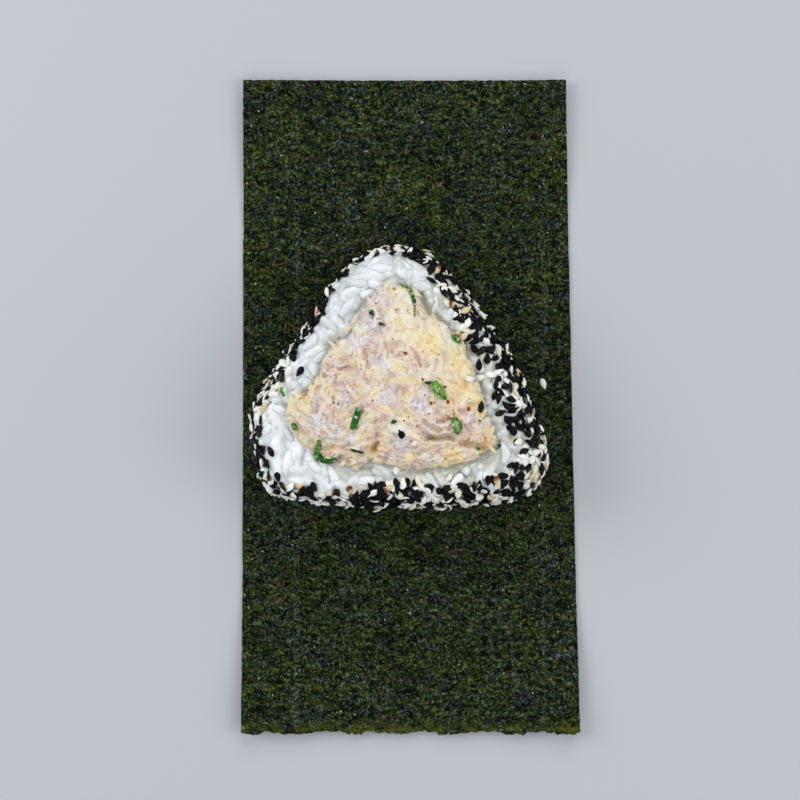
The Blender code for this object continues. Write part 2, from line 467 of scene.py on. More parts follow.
# %% [markdown]
# ## The rice
#
# A rice ball is hundreds of soft, sticky grains. Piling that many up one by one is nobody's work, so a
# grain is modelled in three shapes, and copies are laid over a core, thick enough to hide it. A grain
# starts as a small ball with few faces, because each face is repeated hundreds of times. Its rings are
# scaled and pulled into blunt ends, a slight bend and the notch where the germ was.

# %% Model a few grains of rice
GRAIN = Vector((7.6 * MM, 3.7 * MM, 2.9 * MM))


def start_bean(name, size, around=8, along=6):
    """A small closed body with its length along X, open in edit mode."""
    bpy.ops.object.select_all(action="DESELECT")
    bpy.ops.mesh.primitive_uv_sphere_add(
        segments=around, ring_count=along, radius=0.5, rotation=(0.0, math.pi / 2.0, 0.0)
    )
    bean = bpy.context.object
    bean.name = name
    bpy.ops.object.transform_apply(location=False, rotation=True, scale=False)
    edit(bean)
    bpy.ops.transform.resize(value=tuple(size))
    return bean


def taken(bean):
    """Read a finished model as points, faces and place along its length, and remove it."""
    done()
    points = np.array([tuple(point.co) for point in bean.data.vertices])
    faces = [tuple(face.vertices) for face in bean.data.polygons]
    reach = np.ptp(points[:, 0])
    share = (points[:, 0] - points[:, 0].min()) / reach
    bpy.data.objects.remove(bean)
    return points, faces, share


def model_grain(number, bend, notch, plump):
    """One grain: blunt ends, a slight bend, and the notch where the germ was."""
    grain = start_bean(f"grain model {number}", GRAIN)
    half = GRAIN.x / 2.0
    pick(grain, "VERT", lambda place, normal: abs(place.x) > 0.55 * half)
    bpy.ops.transform.resize(value=(1.04, plump, plump))
    pick(grain, "VERT", lambda place, normal: abs(place.x) < 0.3 * half)
    bpy.ops.transform.translate(
        value=(0.0, bend, 0.0), use_proportional_edit=True, proportional_size=0.8 * half
    )
    pick(grain, "VERT", lambda place, normal: place.x > 0.8 * half)
    bpy.ops.transform.translate(value=(0.0, notch, -0.3 * notch))
    return taken(grain)


grains = [
    model_grain(1, 0.25 * MM, 0.35 * MM, 1.10),
    model_grain(2, -0.40 * MM, 0.20 * MM, 1.04),
    model_grain(3, 0.10 * MM, -0.45 * MM, 1.14),
]
print("faces of one grain:", len(grains[0][1]))

# %% [markdown]
# Copies of a small model are laid on a surface by three numbers each: a turn in the surface, a tilt that
# lifts one end, and a roll about the length. The copies are then joined in one mesh. Each copy gets a random
# tone, kept as an attribute on its points, so that no two grains or seeds need be the same colour.

# %% Helpers that lay many copies on a surface
RICE_LOW, RICE_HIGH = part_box("rice_ball")
FILLING_LOW, FILLING_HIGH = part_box("tuna_filling")
ball_points = np.array([tuple(point.co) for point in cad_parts["rice_ball"].data.vertices])
MIDDLE_SHARE = 0.43  # a triangle's middle lies nearer its base than its point
BALL_MIDDLE = np.array((
    (RICE_LOW.x + RICE_HIGH.x) / 2.0,
    RICE_LOW.y + MIDDLE_SHARE * (RICE_HIGH.y - RICE_LOW.y),
))


def unit(vectors):
    """Vectors of length 1."""
    return vectors / np.maximum(np.linalg.norm(vectors, axis=-1, keepdims=True), 1e-12)


def turned(points, normals, turns, tilts, rolls):
    """Axes along, across and out for copies laid on a surface. Turn 0 runs round the rice ball."""
    outward = np.zeros_like(points)
    outward[:, :2] = points[:, :2] - BALL_MIDDLE
    along = np.cross(UP, unit(outward))
    along = unit(along - normals * (along * normals).sum(1, keepdims=True))
    across = np.cross(normals, along)
    cos, sin = np.cos(turns)[:, None], np.sin(turns)[:, None]
    along, across = along * cos + across * sin, across * cos - along * sin
    cos, sin = np.cos(tilts)[:, None], np.sin(tilts)[:, None]
    along, out = along * cos + normals * sin, normals * cos - along * sin
    cos, sin = np.cos(rolls)[:, None], np.sin(rolls)[:, None]
    across, out = across * cos + out * sin, out * cos - across * sin
    return np.stack((along, across, out), axis=2)


def joined(name, models, which, axes, centres, sizes, tones):
    """One mesh from a copy of a model at every centre, with the tone and the place along each copy."""
    corners, faces, tone_of, share_of, start = [], [], [], [], 0
    for i, centre in enumerate(centres):
        points, outline, share = models[which[i]]
        corners.append(points * sizes[i] @ axes[i].T + centre)
        faces += [tuple(corner + start for corner in face) for face in outline]
        tone_of.append(np.full(len(points), tones[i]))
        share_of.append(share)
        start += len(points)
    mesh = bpy.data.meshes.new(name)
    mesh.from_pydata(np.concatenate(corners).tolist(), [], faces)
    for label, values in (("tone", tone_of), ("share", share_of)):
        stored = mesh.attributes.new(label, "FLOAT", "POINT")
        stored.data.foreach_set("value", np.concatenate(values).astype(np.float32))
    piece = bpy.data.objects.new(name, mesh)
    bpy.context.scene.collection.objects.link(piece)
    return piece


print("middle of the ball in mm:", (BALL_MIDDLE / MM).round(1))

# %% [markdown]
# Where the copies go takes three steps. Random points are drawn evenly over a mesh, those that crowd an
# earlier one are dropped, and a ray cast onto what is there already finds the height. Smooth noise at the
# points lets neighbours differ little and far ones much, as in anything that was pressed or poured.

# %% Helpers that choose places
def scattered(piece, count, chance):
    """Random points on a mesh, evenly by area, with their smooth normals."""
    mesh = piece.data
    mesh.calc_loop_triangles()
    corners = np.array([tuple(triangle.vertices) for triangle in mesh.loop_triangles])
    points = np.array([tuple(point.co) for point in mesh.vertices])
    normals = np.array([tuple(point.normal) for point in mesh.vertices])
    a, b, c = (points[corners[:, k]] for k in range(3))
    area = np.linalg.norm(np.cross(b - a, c - a), axis=1)
    chosen = chance.choice(len(corners), count, p=area / area.sum())
    u, v = chance.random((2, count))
    flip = u + v > 1.0
    u, v = np.where(flip, 1.0 - u, u)[:, None], np.where(flip, 1.0 - v, v)[:, None]
    first, second, third = corners[chosen].T
    places, directions = (
        (1 - u - v) * values[first] + u * values[second] + v * values[third] for values in (points, normals)
    )
    return places, unit(directions)


def spread_out(points, gap):
    """The numbers of points that lie no closer than gap to one another, first come first kept."""
    kept, cells = [], {}
    steps = [(i, j, k) for i in (-1, 0, 1) for j in (-1, 0, 1) for k in (-1, 0, 1)]
    for number, point in enumerate(points):
        cell = tuple(int(value // gap) for value in point)
        around = [tuple(here + step for here, step in zip(cell, move)) for move in steps]
        near = [other for place in around for other in cells.get(place, ())]
        if all(np.sum((other - point) ** 2) >= gap * gap for other in near):
            kept.append(number)
            cells.setdefault(cell, []).append(point)
    return np.array(kept)


def tree_of(*pieces):
    """A search tree of several meshes, for casting rays on them."""
    corners, faces, start = [], [], 0
    for piece in pieces:
        corners += [point.co.copy() for point in piece.data.vertices]
        faces += [tuple(corner + start for corner in face.vertices) for face in piece.data.polygons]
        start = len(corners)
    return BVHTree.FromPolygons(corners, faces)


def wander(points, size):
    """Smooth noise from -1 to 1 at each point."""
    return np.array([noise.noise(Vector(point) / size) for point in points])


# %% [markdown]
# A finish can read any value that is stored on the points of a mesh. That is how it learns what no noise
# could tell it: which grain a point came from, whether it lies in a hollow, and which part of the food it
# belongs to.

# %% Helpers that mark the points of a piece
def patched(points, patches):
    """How much each point belongs to the nearest of some patches, from 0 to 1, with a wavering edge."""
    share = np.zeros(len(points))
    waver = 0.45 * wander(points, 2.4 * MM)
    for x, y, reach in patches:
        away = np.hypot(points[:, 0] - x * MM, points[:, 1] - y * MM) / (reach * MM)
        share = np.maximum(share, (1.35 - away - waver).clip(0.0, 1.0))
    return share


def marked(piece, label, values):
    """Store one value for each point of a piece, for its finish to read."""
    stored = piece.data.attributes.new(label, "FLOAT", "POINT")
    stored.data.foreach_set("value", np.asarray(values, dtype=np.float32))


def mark_height(piece, depth, iterations, label="height"):
    """Store how far each point stands above the smoothed piece, in units of depth."""
    smooth = piece.copy()
    smooth.data = piece.data.copy()
    bpy.context.scene.collection.objects.link(smooth)
    modified(smooth, "SMOOTH", factor=0.5, iterations=iterations)
    rough_points = np.array([tuple(point.co) for point in piece.data.vertices])
    smooth_points = np.array([tuple(point.co) for point in smooth.data.vertices])
    normals = np.array([tuple(point.normal) for point in smooth.data.vertices])
    bpy.data.objects.remove(smooth)
    height = ((rough_points - smooth_points) * normals).sum(1) / depth
    marked(piece, label, height)
    print(piece.name, f"{label} spread:", np.percentile(height, (5, 50, 95)).round(2))


def spread_tone(piece, places, tones, blur):
    """For each point of a piece, the tone of the nearest of some places, mixed over a short blur."""
    finder = KDTree(len(places))
    for number, place in enumerate(places):
        finder.insert(place, number)
    finder.balance()
    spread = []
    for point in piece.data.vertices:
        found = finder.find_n(point.co, 4)
        weights = [1.0 / (distance + blur) ** 4 for _, _, distance in found]
        spread.append(sum(w * tones[n] for w, (_, n, _) in zip(weights, found)) / sum(weights))
    return spread


# %% [markdown]
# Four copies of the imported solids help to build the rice, three of them grown or shrunk along their
# normals. The rice ball as it is serves as the skin that grains and seeds are laid on, and drawn in it is
# the core that fills the gaps as starch does. The filling drawn in tells which grains would be hidden under
# it. The filling swelled and cut off flat is the bed of rice that it lies on.

# %% Shape the core of the rice
CORE_INSET = 1.2 * MM
TUCK = 1.4 * MM
BED_DEPTH = 1.7 * MM  # how far the bed lies below the top of the rice

rice_skin = copy_of_node("rice_ball", "rice skin")
under = copy_of_node("tuna_filling", "under the filling")
edit(under)
bpy.ops.transform.shrink_fatten(value=-TUCK)
done()
under_tree = tree_of(under)

bed = copy_of_node("tuna_filling", "bed of the filling")
edit(bed)
bpy.ops.transform.shrink_fatten(value=TUCK)
pick(bed, "VERT", lambda place, normal: place.z > RICE_HIGH.z - BED_DEPTH)
bpy.ops.transform.resize(value=(1.0, 1.0, 0.0), center_override=(0.0, 0.0, RICE_HIGH.z - BED_DEPTH))
done()

core = copy_of_node("rice_ball", "rice_core")
edit(core)
bpy.ops.transform.shrink_fatten(value=-CORE_INSET)
pick(core, "VERT", lambda place, normal: place.z < RICE_LOW.z + 1.2 * CORE_INSET)
bpy.ops.transform.resize(value=(1.0, 1.0, 0.0), center_override=(0.0, 0.0, RICE_LOW.z))
done()
print("core height in mm:", round(core.dimensions.z / MM, 1))

# %% [markdown]
# The pressed grains lie in two layers, the lower one showing through the gaps of the upper, with a few loose
# grains on top. A mould presses the outer grains flat against the side, so most lie along it, in small groups
# that point the same way. Those on the side lie deeper, to leave room for the sesame.

# %% Lay the grains of rice
chance = np.random.default_rng(11)


def under_filling(point):
    """True where the filling lies over a point, but for the width of its rim."""
    hit = under_tree.ray_cast(Vector(point) - Vector((0.0, 0.0, 4 * MM)), Vector(UP), 30 * MM)
    return hit[0] is not None


def lay_grains(count, gap, depth, unevenness, darkest_tone):
    """Centres, axes, sizes and tones for one layer of grains under the rice ball's skin."""
    points, normals = scattered(rice_skin, count, chance)
    shown = (normals[:, 2] > -0.70) & (points[:, 2] > RICE_LOW.z + 1.1 * MM)
    points, normals = points[shown], normals[shown]
    kept = spread_out(points, gap)
    kept = np.array([i for i in kept if not under_filling(points[i])])
    points, normals = points[kept], normals[kept]
    total = len(points)
    flat = np.clip(normals[:, 2], 0.0, 1.0)
    turns = wander(points, 9 * MM) * math.radians(150) + chance.normal(0.0, 0.40, total)
    tilts = chance.normal(0.0, 0.13, total)
    rolls = chance.normal(0.0, 0.4, total)
    side_room = 0.9 * MM * (1.0 - flat)
    sink = depth + side_room + chance.normal(0.0, unevenness, total)
    centres = points - normals * sink[:, None]
    sizes = chance.normal(1.0, 0.07, (total, 3)).clip(0.82, 1.18)
    tones = chance.uniform(darkest_tone, 1.0, total)
    return centres, turned(points, normals, turns, tilts, rolls), sizes, tones


def grains_of(name, *layers):
    """One mesh of all the grains in these layers."""
    centres, axes, sizes, tones = (np.concatenate(parts) for parts in zip(*layers))
    which = chance.integers(0, len(grains), len(centres))
    print(name, "grains:", len(centres))
    return joined(name, grains, which, axes, centres, sizes, tones)


# Tones differ at random, but the lowest tone rises from the deepest layer to the loose grains on top: painted
# shade, darker where grains lie deeper.
pressed = grains_of(
    "pressed rice",
    lay_grains(9000, 3.9 * MM, 1.95 * MM, 0.25 * MM, 0.0),
    lay_grains(16000, 4.1 * MM, 1.25 * MM, 0.25 * MM, 0.10),
)
rice = grains_of("rice_grains", lay_grains(16000, 6.5 * MM, 1.15 * MM, 0.12 * MM, 0.5))

# %% [markdown]
# Steam and pressure glue the grains together: in most of the ball only soft valleys tell one from the next.
# So the pressed layers, the bed and the core go through a voxel remesh, which melts all that overlaps in one
# skin, and a Smooth modifier rounds the valleys. In one corner the rice was squeezed almost to a paste, and a
# vertex group smooths it further there. The loose grains stay separate.

# %% Melt the pressed grains and the core into one sticky mass
STICKY_SPOT = Vector((-36.0 * MM, -12.5 * MM, RICE_HIGH.z))
# The bed's tone is painted light on the left of the parting and painted shade on the right, beside the
# filling.
BED_PARTING = -4 * MM  # the bed is paler on the left of this line than on the right
BED_LIT_AND_SHADED_TONES = (0.45, -0.1)

grain_places = [point.co.copy() for point in pressed.data.vertices]
grain_tones = [item.value for item in pressed.data.attributes["tone"].data]
for point in bed.data.vertices:
    grain_places.append(point.co.copy())
    grain_tones.append(BED_LIT_AND_SHADED_TONES[0] if point.co.x < BED_PARTING else BED_LIT_AND_SHADED_TONES[1])

alone(core)
pressed.select_set(True)
bed.select_set(True)
bpy.ops.object.join()
modified(core, "REMESH", mode="VOXEL", voxel_size=0.45 * MM)
modified(core, "SMOOTH", factor=0.5, iterations=1)
weigh(core, "sticky", lambda p: 1.3 - (p - STICKY_SPOT).length / (9 * MM))
modified(core, "SMOOTH", factor=0.5, iterations=14, vertex_group="sticky")
modified(core, "DECIMATE", ratio=0.85)
print("sticky mass faces:", len(core.data.polygons))

# %% [markdown]
# Cooked rice lets light in: it scatters under the skin and comes out a little way off, which softens every
# shadow. That is subsurface scattering. Each point's tone turns into a colour from a glassy grey-green to
# white. The tone differs at random from grain to grain, and it also carries painted shade where grains lie
# deeper and, in the sticky mass, painted light and painted shade by place. The same finish serves the sticky
# rice and the loose grains, so a function makes it.

# %% Finish of cooked rice
def rice_finish_of(name):
    """Moist cooked rice. Returns the material, its shader, its colour and its Object coordinates."""
    finish, shader, place = new_finish(
        name, Subsurface_Weight=0.8, Subsurface_Scale=0.8 * MM, Specular_IOR_Level=0.45,
        Subsurface_Radius=(1.0, 1.0, 0.95),
    )
    cloudy = place.cloud(2.2 * MM, 4.0, 0.60)
    clear = attribute(place, "tone") + (cloudy - 0.5) * 0.35
    colour = clear.ramp(
        (0.00, (0.45, 0.48, 0.42)),
        (0.25, (0.58, 0.61, 0.58)),
        (0.55, (0.73, 0.77, 0.79)),
        (1.00, (0.90, 0.93, 0.97)),
    )
    skin = place.cloud(0.9 * MM, 3.0, 0.6, shift=2.0)
    feed(shader, Roughness=0.14 + skin * 0.28, Normal=raised(skin, 0.12 * MM, 0.5))
    return finish, shader, colour, place


# %% [markdown]
# In the sticky mass every point takes the tone of the grain that it was melted from. Its height over the
# smoothed mass darkens the valleys with painted shade, and its height over a barely smoothed one paints shade
# into the fine seams between grains and highlights onto their rises. On the left of the ball the rice is
# painted whiter, as painted light, and on the bottom and right and round the filling it is painted a clearer
# grey, as painted shade.

# %% Finish of the sticky rice
# Middle x, y and reach in mm of the rice painted whiter as painted light, and painted greyer as painted
# shade.
PAINTED_LIGHT_RICE = ((-37.0, -13.0, 11.0), (-28.0, 8.0, 8.0), (-20.0, 24.0, 8.0), (-10.0, 37.0, 7.0))
GLASSY_SHADED_RICE = (
    (-14.0, -20.5, 7.0), (-2.0, -21.0, 9.0), (12.0, -20.0, 8.0), (27.0, -12.0, 8.0), (20.0, 12.0, 9.0),
    (7.0, 31.0, 7.0), (-15.0, 30.0, 3.5), (-23.5, 20.0, 3.0),
)

core_points = np.array([tuple(point.co) for point in core.data.vertices])
# Painted light: the rice on the left of the ball is whiter.
painted_light = patched(core_points, PAINTED_LIGHT_RICE) * 0.55
grain_tone = np.array(spread_tone(core, grain_places, grain_tones, 0.10 * MM))
marked(core, "tone", grain_tone + (1.0 - grain_tone) * painted_light)
marked(core, "glassy", patched(core_points, GLASSY_SHADED_RICE))
mark_height(core, 0.25 * MM, 30)
mark_height(core, 0.04 * MM, 4, "seam")
core_finish, shader, colour, place = rice_finish_of("sticky rice")
# Painted shade: the valleys between grains are darker.
valley_shade = attribute(place, "height").fade(-0.1, -1.0)
colour = (valley_shade * 0.55).blend(colour, (0.53, 0.56, 0.53))
# Painted shade in the fine seams between grains, and painted highlights on their rises.
seam = attribute(place, "seam")
colour = (seam.fade(-0.3, -1.5) * 0.55).blend(colour, (0.50, 0.54, 0.51))
colour = (seam.fade(0.3, 1.3) * 0.50).blend(colour, (0.95, 0.97, 0.99))
# Painted shade: greyer, glassier rice on the bottom and right of the ball and round the filling.
glassy = attribute(place, "glassy") * place.cloud(3.5 * MM, 2.0, shift=9.0).fade(0.25, 0.60)
feed(shader, Base_Color=(glassy * 0.75).blend(colour, (0.53, 0.53, 0.43)))
dress(core, core_finish, "rice", "rice_ball")

# %% [markdown]
# The loose grains need nothing more than the plain finish, with the tone that each was given as it was laid.

# %% Finish of the loose grains
grain_finish, shader, colour, place = rice_finish_of("rice grain")
feed(shader, Base_Color=colour)
dress(rice, grain_finish, "rice")

# %% [markdown]
# ## The sesame
#
# A sesame seed is a flat drop, pointed at one end. It is shaped from the same small ball as a grain, by
# drawing its rings in towards the tip, widening its belly and curving it a little. Three shapes are enough,
# because every copy gets its own size and turn.

# %% Model the sesame seeds
SEED = Vector((3.75 * MM, 2.05 * MM, 0.88 * MM))


def model_seed(number, belly, curve):
    """One seed: a pointed tip at the start of its length and a round belly at the end."""
    seed = start_bean(f"seed model {number}", SEED)
    half = SEED.x / 2.0
    pick(seed, "VERT", lambda place, normal: place.x < -0.3 * half)
    bpy.ops.transform.resize(value=(1.0, 0.70, 0.85), center_override=(0.0, 0.0, 0.0))
    pick(seed, "VERT", lambda place, normal: place.x < -0.6 * half)
    bpy.ops.transform.resize(value=(1.0, 0.62, 0.85), center_override=(0.0, 0.0, 0.0))
    pick(seed, "VERT", lambda place, normal: 0.1 * half < place.x < 0.8 * half)
    bpy.ops.transform.resize(value=(1.0, belly, 1.0), center_override=(0.0, 0.0, 0.0))
    pick(seed, "VERT", lambda place, normal: abs(place.x) < 0.2 * half)
    bpy.ops.transform.translate(
        value=(0.0, 0.0, curve), use_proportional_edit=True, proportional_size=half
    )
    return taken(seed)


seeds = [
    model_seed(1, 1.08, 0.10 * MM),
    model_seed(2, 1.16, -0.06 * MM),
    model_seed(3, 1.00, 0.16 * MM),
]
print("faces of one seed:", len(seeds[0][1]))

# %% [markdown]
# The sides are coated all over, because the ball was rolled in a tray of seeds. How far the coating reaches
# in over the top differs round the ball: a narrow rim on the left, and a broad drift on the right. Past its
# edge the chance of a seed falls off, so that the edge is loose.

# %% Say where the sesame lies
# Direction from the ball's middle in degrees, and how far in from the outline the coating reaches in mm.
COATING = (
    (-157, 3.4), (-135, 4.8), (-115, 6.8), (-92, 7.8), (-57, 9.4), (-38, 10.0), (-25, 11.5), (-12, 12.0),
    (0, 10.0), (20, 8.0), (45, 8.5), (64, 7.5), (77, 4.6), (90, 1.8), (104, 1.0), (121, 1.6), (142, 2.6),
    (161, 4.2), (178, 5.6), (192, 4.0),
)
DIRECTIONS = np.arange(-180, 180, 5)
SIDE_TOP = RICE_LOW.z + 0.62 * (RICE_HIGH.z - RICE_LOW.z)  # below this height all is side
STRAY_CHANCE = 0.012  # of a lone seed just past the coating's edge
STRAY_REACH = 2 * MM


def direction_of(points):
    """Direction of each point from the ball's middle, in degrees."""
    return np.degrees(np.arctan2(points[:, 1] - BALL_MIDDLE[1], points[:, 0] - BALL_MIDDLE[0]))


def distance_of(points):
    """Distance of each point from the ball's middle, seen from above."""
    return np.hypot(points[:, 0] - BALL_MIDDLE[0], points[:, 1] - BALL_MIDDLE[1])


ball_directions, ball_distances = direction_of(ball_points), distance_of(ball_points)
OUTLINE = np.array([
    ball_distances[np.abs((ball_directions - direction + 180) % 360 - 180) < 4].max()
    for direction in DIRECTIONS
])


def coated(points):
    """Chance from 0 to 1 that sesame sticks at each point."""
    directions = direction_of(points)
    inwards = np.interp(directions, DIRECTIONS, OUTLINE, period=360) - distance_of(points)
    inwards = np.where(points[:, 2] < SIDE_TOP, np.minimum(inwards, 0.2 * MM), inwards)
    where, reach = np.array(COATING).T
    band = np.interp(directions, where, reach * MM, period=360)
    band = band + wander(points, 5 * MM) * 1.6 * MM
    softness = 0.35 * band + 0.6 * MM
    solid = np.clip((band - inwards) / softness + 0.4, 0.0, 1.0)
    return np.maximum(solid, STRAY_CHANCE * np.exp(-(inwards - band).clip(0.0) / STRAY_REACH))


print("reach of the outline in mm:", (OUTLINE.min() / MM).round(1), "to", (OUTLINE.max() / MM).round(1))

# %% [markdown]
# A seed comes to rest on what is under it. Five rays, at its middle, ends and sides, feel the rice or the
# seeds that are there already, and the seed takes their height and slope. None may rest much above the
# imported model's skin, or a pile of seeds would grow out of the ball's shape.

# %% Settle a seed on what is there
HALF_LENGTH = 1.2 * MM
HALF_WIDTH = 0.7 * MM
RAY_REACH = 6 * MM
SEED_REST = 0.22 * MM  # from what is felt to the seed's middle


def settle(tree, points, normals, turns, highest):
    """Centres, tilts and rolls of seeds that rest on a tree of pieces, none higher than highest."""
    axes = turned(points, normals, turns, np.zeros(len(points)), np.zeros(len(points)))
    centres, tilts, rolls = [], [], []
    for point, normal, (along, across) in zip(points, normals, zip(axes[:, :, 0], axes[:, :, 1])):
        heights = []
        ends, sides = along * HALF_LENGTH, across * HALF_WIDTH
        for step in (along * 0, ends, -ends, sides, -sides):
            start = point + normal * RAY_REACH / 2.0 + step
            hit = tree.ray_cast(Vector(start), Vector(-normal), RAY_REACH)
            heights.append(RAY_REACH / 2.0 - hit[3] if hit[0] is not None else -0.8 * MM)
        middle, front, back, left, right = heights
        rest = max(0.6 * middle + 0.1 * sum(heights[1:]), (front + back) / 2.0, (left + right) / 2.0)
        centres.append(point + normal * (min(rest, highest) + SEED_REST))
        tilts.append(math.atan2(front - back, 2.0 * HALF_LENGTH))
        rolls.append(math.atan2(left - right, 2.0 * HALF_WIDTH))
    return np.array(centres), np.clip(tilts, -0.7, 0.7), np.clip(rolls, -0.8, 0.8)


# %% [markdown]
# The seeds are laid in three passes, each settling on the one before, with fewer seeds and wider gaps each
# time. Whether a seed is black or white comes from smooth noise, some luck and a list of drifts, so that
# neighbours are often alike, as when two bowls of seeds are barely mixed. On the steep sides the seeds stand
# out at wilder angles.

# %% Lay the sesame in passes
chance = np.random.default_rng(23)
# Middle x, y and reach in mm of the drifts where most of the seeds are black.
BLACK_DRIFTS = (
    (6.3, 40.3, 7.0), (21.0, 23.0, 5.5), (31.3, 11.3, 6.5), (32.8, -0.4, 6.5), (37.0, -6.2, 4.5),
    (29.8, -20.7, 4.5), (13.1, -20.7, 5.5), (-12.3, -23.6, 6.5), (-28.3, -23.6, 4.5), (-45.0, -10.5, 5.5),
    (-35.6, 12.0, 5.0), (-29.7, 27.3, 5.0), (-24.7, 33.1, 4.5), (-15.2, 44.7, 2.5),
)
# Places tried and gap between seeds, for each pass.
PASSES = ((15000, 1.9 * MM), (9000, 2.3 * MM), (4000, 3.0 * MM))
PILE_LIMIT = 0.25 * MM
BLACK_SHARE = 0.62

laid = {"black": [], "white": []}
ground = [core, rice]
for number, (count, gap) in enumerate(PASSES):
    points, normals = scattered(rice_skin, count, chance)
    shown = (normals[:, 2] > -0.75) & (points[:, 2] > RICE_LOW.z + 0.5 * MM)
    shown &= chance.random(count) < coated(points)
    points, normals = points[shown], normals[shown]
    kept = spread_out(points, gap)
    kept = np.array([i for i in kept if not under_filling(points[i])])
    points, normals = points[kept], normals[kept]
    total = len(points)
    turns = chance.uniform(-math.pi, math.pi, total)
    centres, tilts, rolls = settle(tree_of(*ground), points, normals, turns, PILE_LIMIT)
    steepness = 1.0 + 1.5 * (1.0 - np.abs(normals[:, 2]))
    tilts = tilts + chance.normal(0.0, 0.11, total) * steepness
    rolls = rolls + chance.normal(0.0, 0.16, total) * steepness
    axes = turned(centres, normals, turns, tilts, rolls)
    sizes = chance.normal(1.0, 0.06, (total, 3)).clip(0.85, 1.15)
    blackness = wander(points, 3.0 * MM) * 1.1 + chance.normal(0.0, 0.45, total)
    blackness += 0.5 * patched(points, BLACK_DRIFTS) - 0.1
    black = blackness > 0.5 - BLACK_SHARE
    which = chance.integers(0, len(seeds), total)
    tones = chance.random(total)
    for colour, mask in (("black", black), ("white", ~black)):
        laid[colour].append((which[mask], axes[mask], centres[mask], sizes[mask], tones[mask]))
    ground.append(joined(f"seed pass {number}", seeds, which, axes, centres, sizes, tones))
    print("seeds in this pass:", total, "black:", black.mean().round(2))

for helper in ground[2:]:
    bpy.data.objects.remove(helper)
black_sesame, white_sesame = (
    joined(f"{colour}_sesame", seeds, *(np.concatenate(part) for part in zip(*laid[colour])))
    for colour in ("black", "white")
)

# %% [markdown]
# A black seed is not quite black: its coat has a faint blue-grey mottle, and now and then one is brownish.
# White seeds run from chalk to cream, a little greener at the round end. A few are toasted: tan in patches,
# or scorched at the round end. Each seed's tone says which kind it is, and its share how far along it a
# point lies.

# %% Finish of the sesame
black_finish, shader, place = new_finish("black sesame coat", Specular_IOR_Level=0.12)
tone = attribute(place, "tone")
skin = place.cloud(0.35 * MM, 3.0, 0.6)
brown = tone.fade(0.93, 0.97)
colour = (skin * 0.8).blend((0.0010, 0.0010, 0.0014), (0.0060, 0.0056, 0.0078))
colour = (brown * skin.fade(0.40, 0.65) * 0.6).blend(colour, (0.070, 0.042, 0.014))
feed(shader, Base_Color=colour, Roughness=0.16 + skin * 0.2, Normal=raised(skin, 0.12 * MM, 0.6))

white_finish, shader, place = new_finish(
    "white sesame coat", Specular_IOR_Level=0.4, Subsurface_Weight=0.3, Subsurface_Scale=0.5 * MM,
    Subsurface_Radius=(1.0, 0.95, 0.85),
)
tone = attribute(place, "tone")
share = attribute(place, "share")
skin = place.cloud(0.4 * MM, 3.0, 0.6)
colour = tone.ramp(
    (0.00, (0.93, 0.94, 0.92)),
    (0.50, (0.91, 0.92, 0.86)),
    (0.82, (0.87, 0.86, 0.75)),
    (0.94, (0.82, 0.78, 0.60)),
)
colour = (share.fade(0.60, 0.95) * 0.30).blend(colour, (0.74, 0.76, 0.62))
tan = tone.fade(0.94, 0.96) * skin.fade(0.35, 0.60)
colour = (tan * 0.8).blend(colour, (0.62, 0.36, 0.10))
scorch = tone.fade(0.975, 0.985) * (share + skin * 0.3).fade(0.55, 0.95)
colour = scorch.blend(colour, (0.16, 0.045, 0.008))
feed(shader, Base_Color=colour, Roughness=0.42 + skin * 0.25, Normal=raised(skin, 0.10 * MM, 0.5))

dress(black_sesame, black_finish, "black_sesame")
dress(white_sesame, white_finish, "white_sesame")

# %% [markdown]
# ## The filling
#
# Tuna mayonnaise is flaked fish bound in a thick cream. It was spooned on, so it differs from place to
# place: patches of plain mayonnaise, of smooth rich cream, of fish whose fibres all run one way, and warmer
# or browner ones. The browner ones are partly the cream's own browning and partly painted shade in the
# creases and hollows they sit on. The patches are named here once, and both the shape and the colour read
# them.

# %% Say where the filling changes
# Middle x, y and reach in mm of each patch. Between them is plain cream with flakes.
MAYONNAISE = (
    (-9.2, 32.7, 3.4), (-12.0, 24.0, 5.0), (-9.2, 13.6, 3.0), (-6.5, 4.0, 3.4), (2.6, 1.8, 3.2),
    (-3.3, -10.5, 3.0), (-22.5, -7.8, 3.0), (-19.5, 2.0, 2.4), (-27.8, -4.3, 3.4), (-3.0, -7.2, 2.0),
    (-28.0, 2.0, 1.8), (-17.5, -9.5, 2.2), (-17.0, 19.5, 3.4), (17.5, -2.5, 1.8),
)
# Browned patches: partly the cream's own browning, partly painted shade in the creases and hollows they sit
# on.
BROWN_PATCHES_AND_CREASE_SHADE = (
    (-10.6, -11.6, 2.5), (12.0, -2.2, 2.2), (15.1, 7.2, 1.8), (22.0, -10.5, 2.6), (16.5, -10.2, 1.8),
    (-31.0, 3.5, 1.8), (-23.2, -11.5, 1.6), (11.0, 2.2, 2.2),
)
WARM = (
    (20.5, 1.5, 5.0), (14.0, 6.5, 4.5), (22.5, -10.0, 5.0), (5.0, 19.0, 5.0), (12.0, -15.0, 5.0),
    (14.0, 14.0, 4.0),
)
SMOOTH_CREAM = (
    (5.5, 21.0, 9.0), (13.0, 12.5, 7.0), (18.5, 3.0, 4.5), (-3.0, -5.5, 3.0), (-1.5, 30.5, 4.5),
)
# Flaked fish has a fourth value: the direction of its fibres in degrees.
FISH = (
    (-17.3, 6.2, 4.6, -55), (-22.0, 11.5, 3.6, 5), (-12.8, 17.0, 3.0, 75), (-13.4, 9.0, 3.0, 100),
    (1.5, 15.0, 3.4, -58), (5.5, -4.9, 5.0, -32), (17.3, -6.3, 3.4, 20), (-12.5, 1.0, 3.0, 45),
    (-24.0, 0.5, 4.0, 80), (8.0, -12.0, 3.0, 10), (16.0, -9.0, 3.2, 15), (-6.5, -13.8, 2.8, -25),
    (9.0, 3.0, 3.0, -60), (-28.0, -4.0, 3.2, -60), (-20.0, -12.5, 2.6, 5),
)
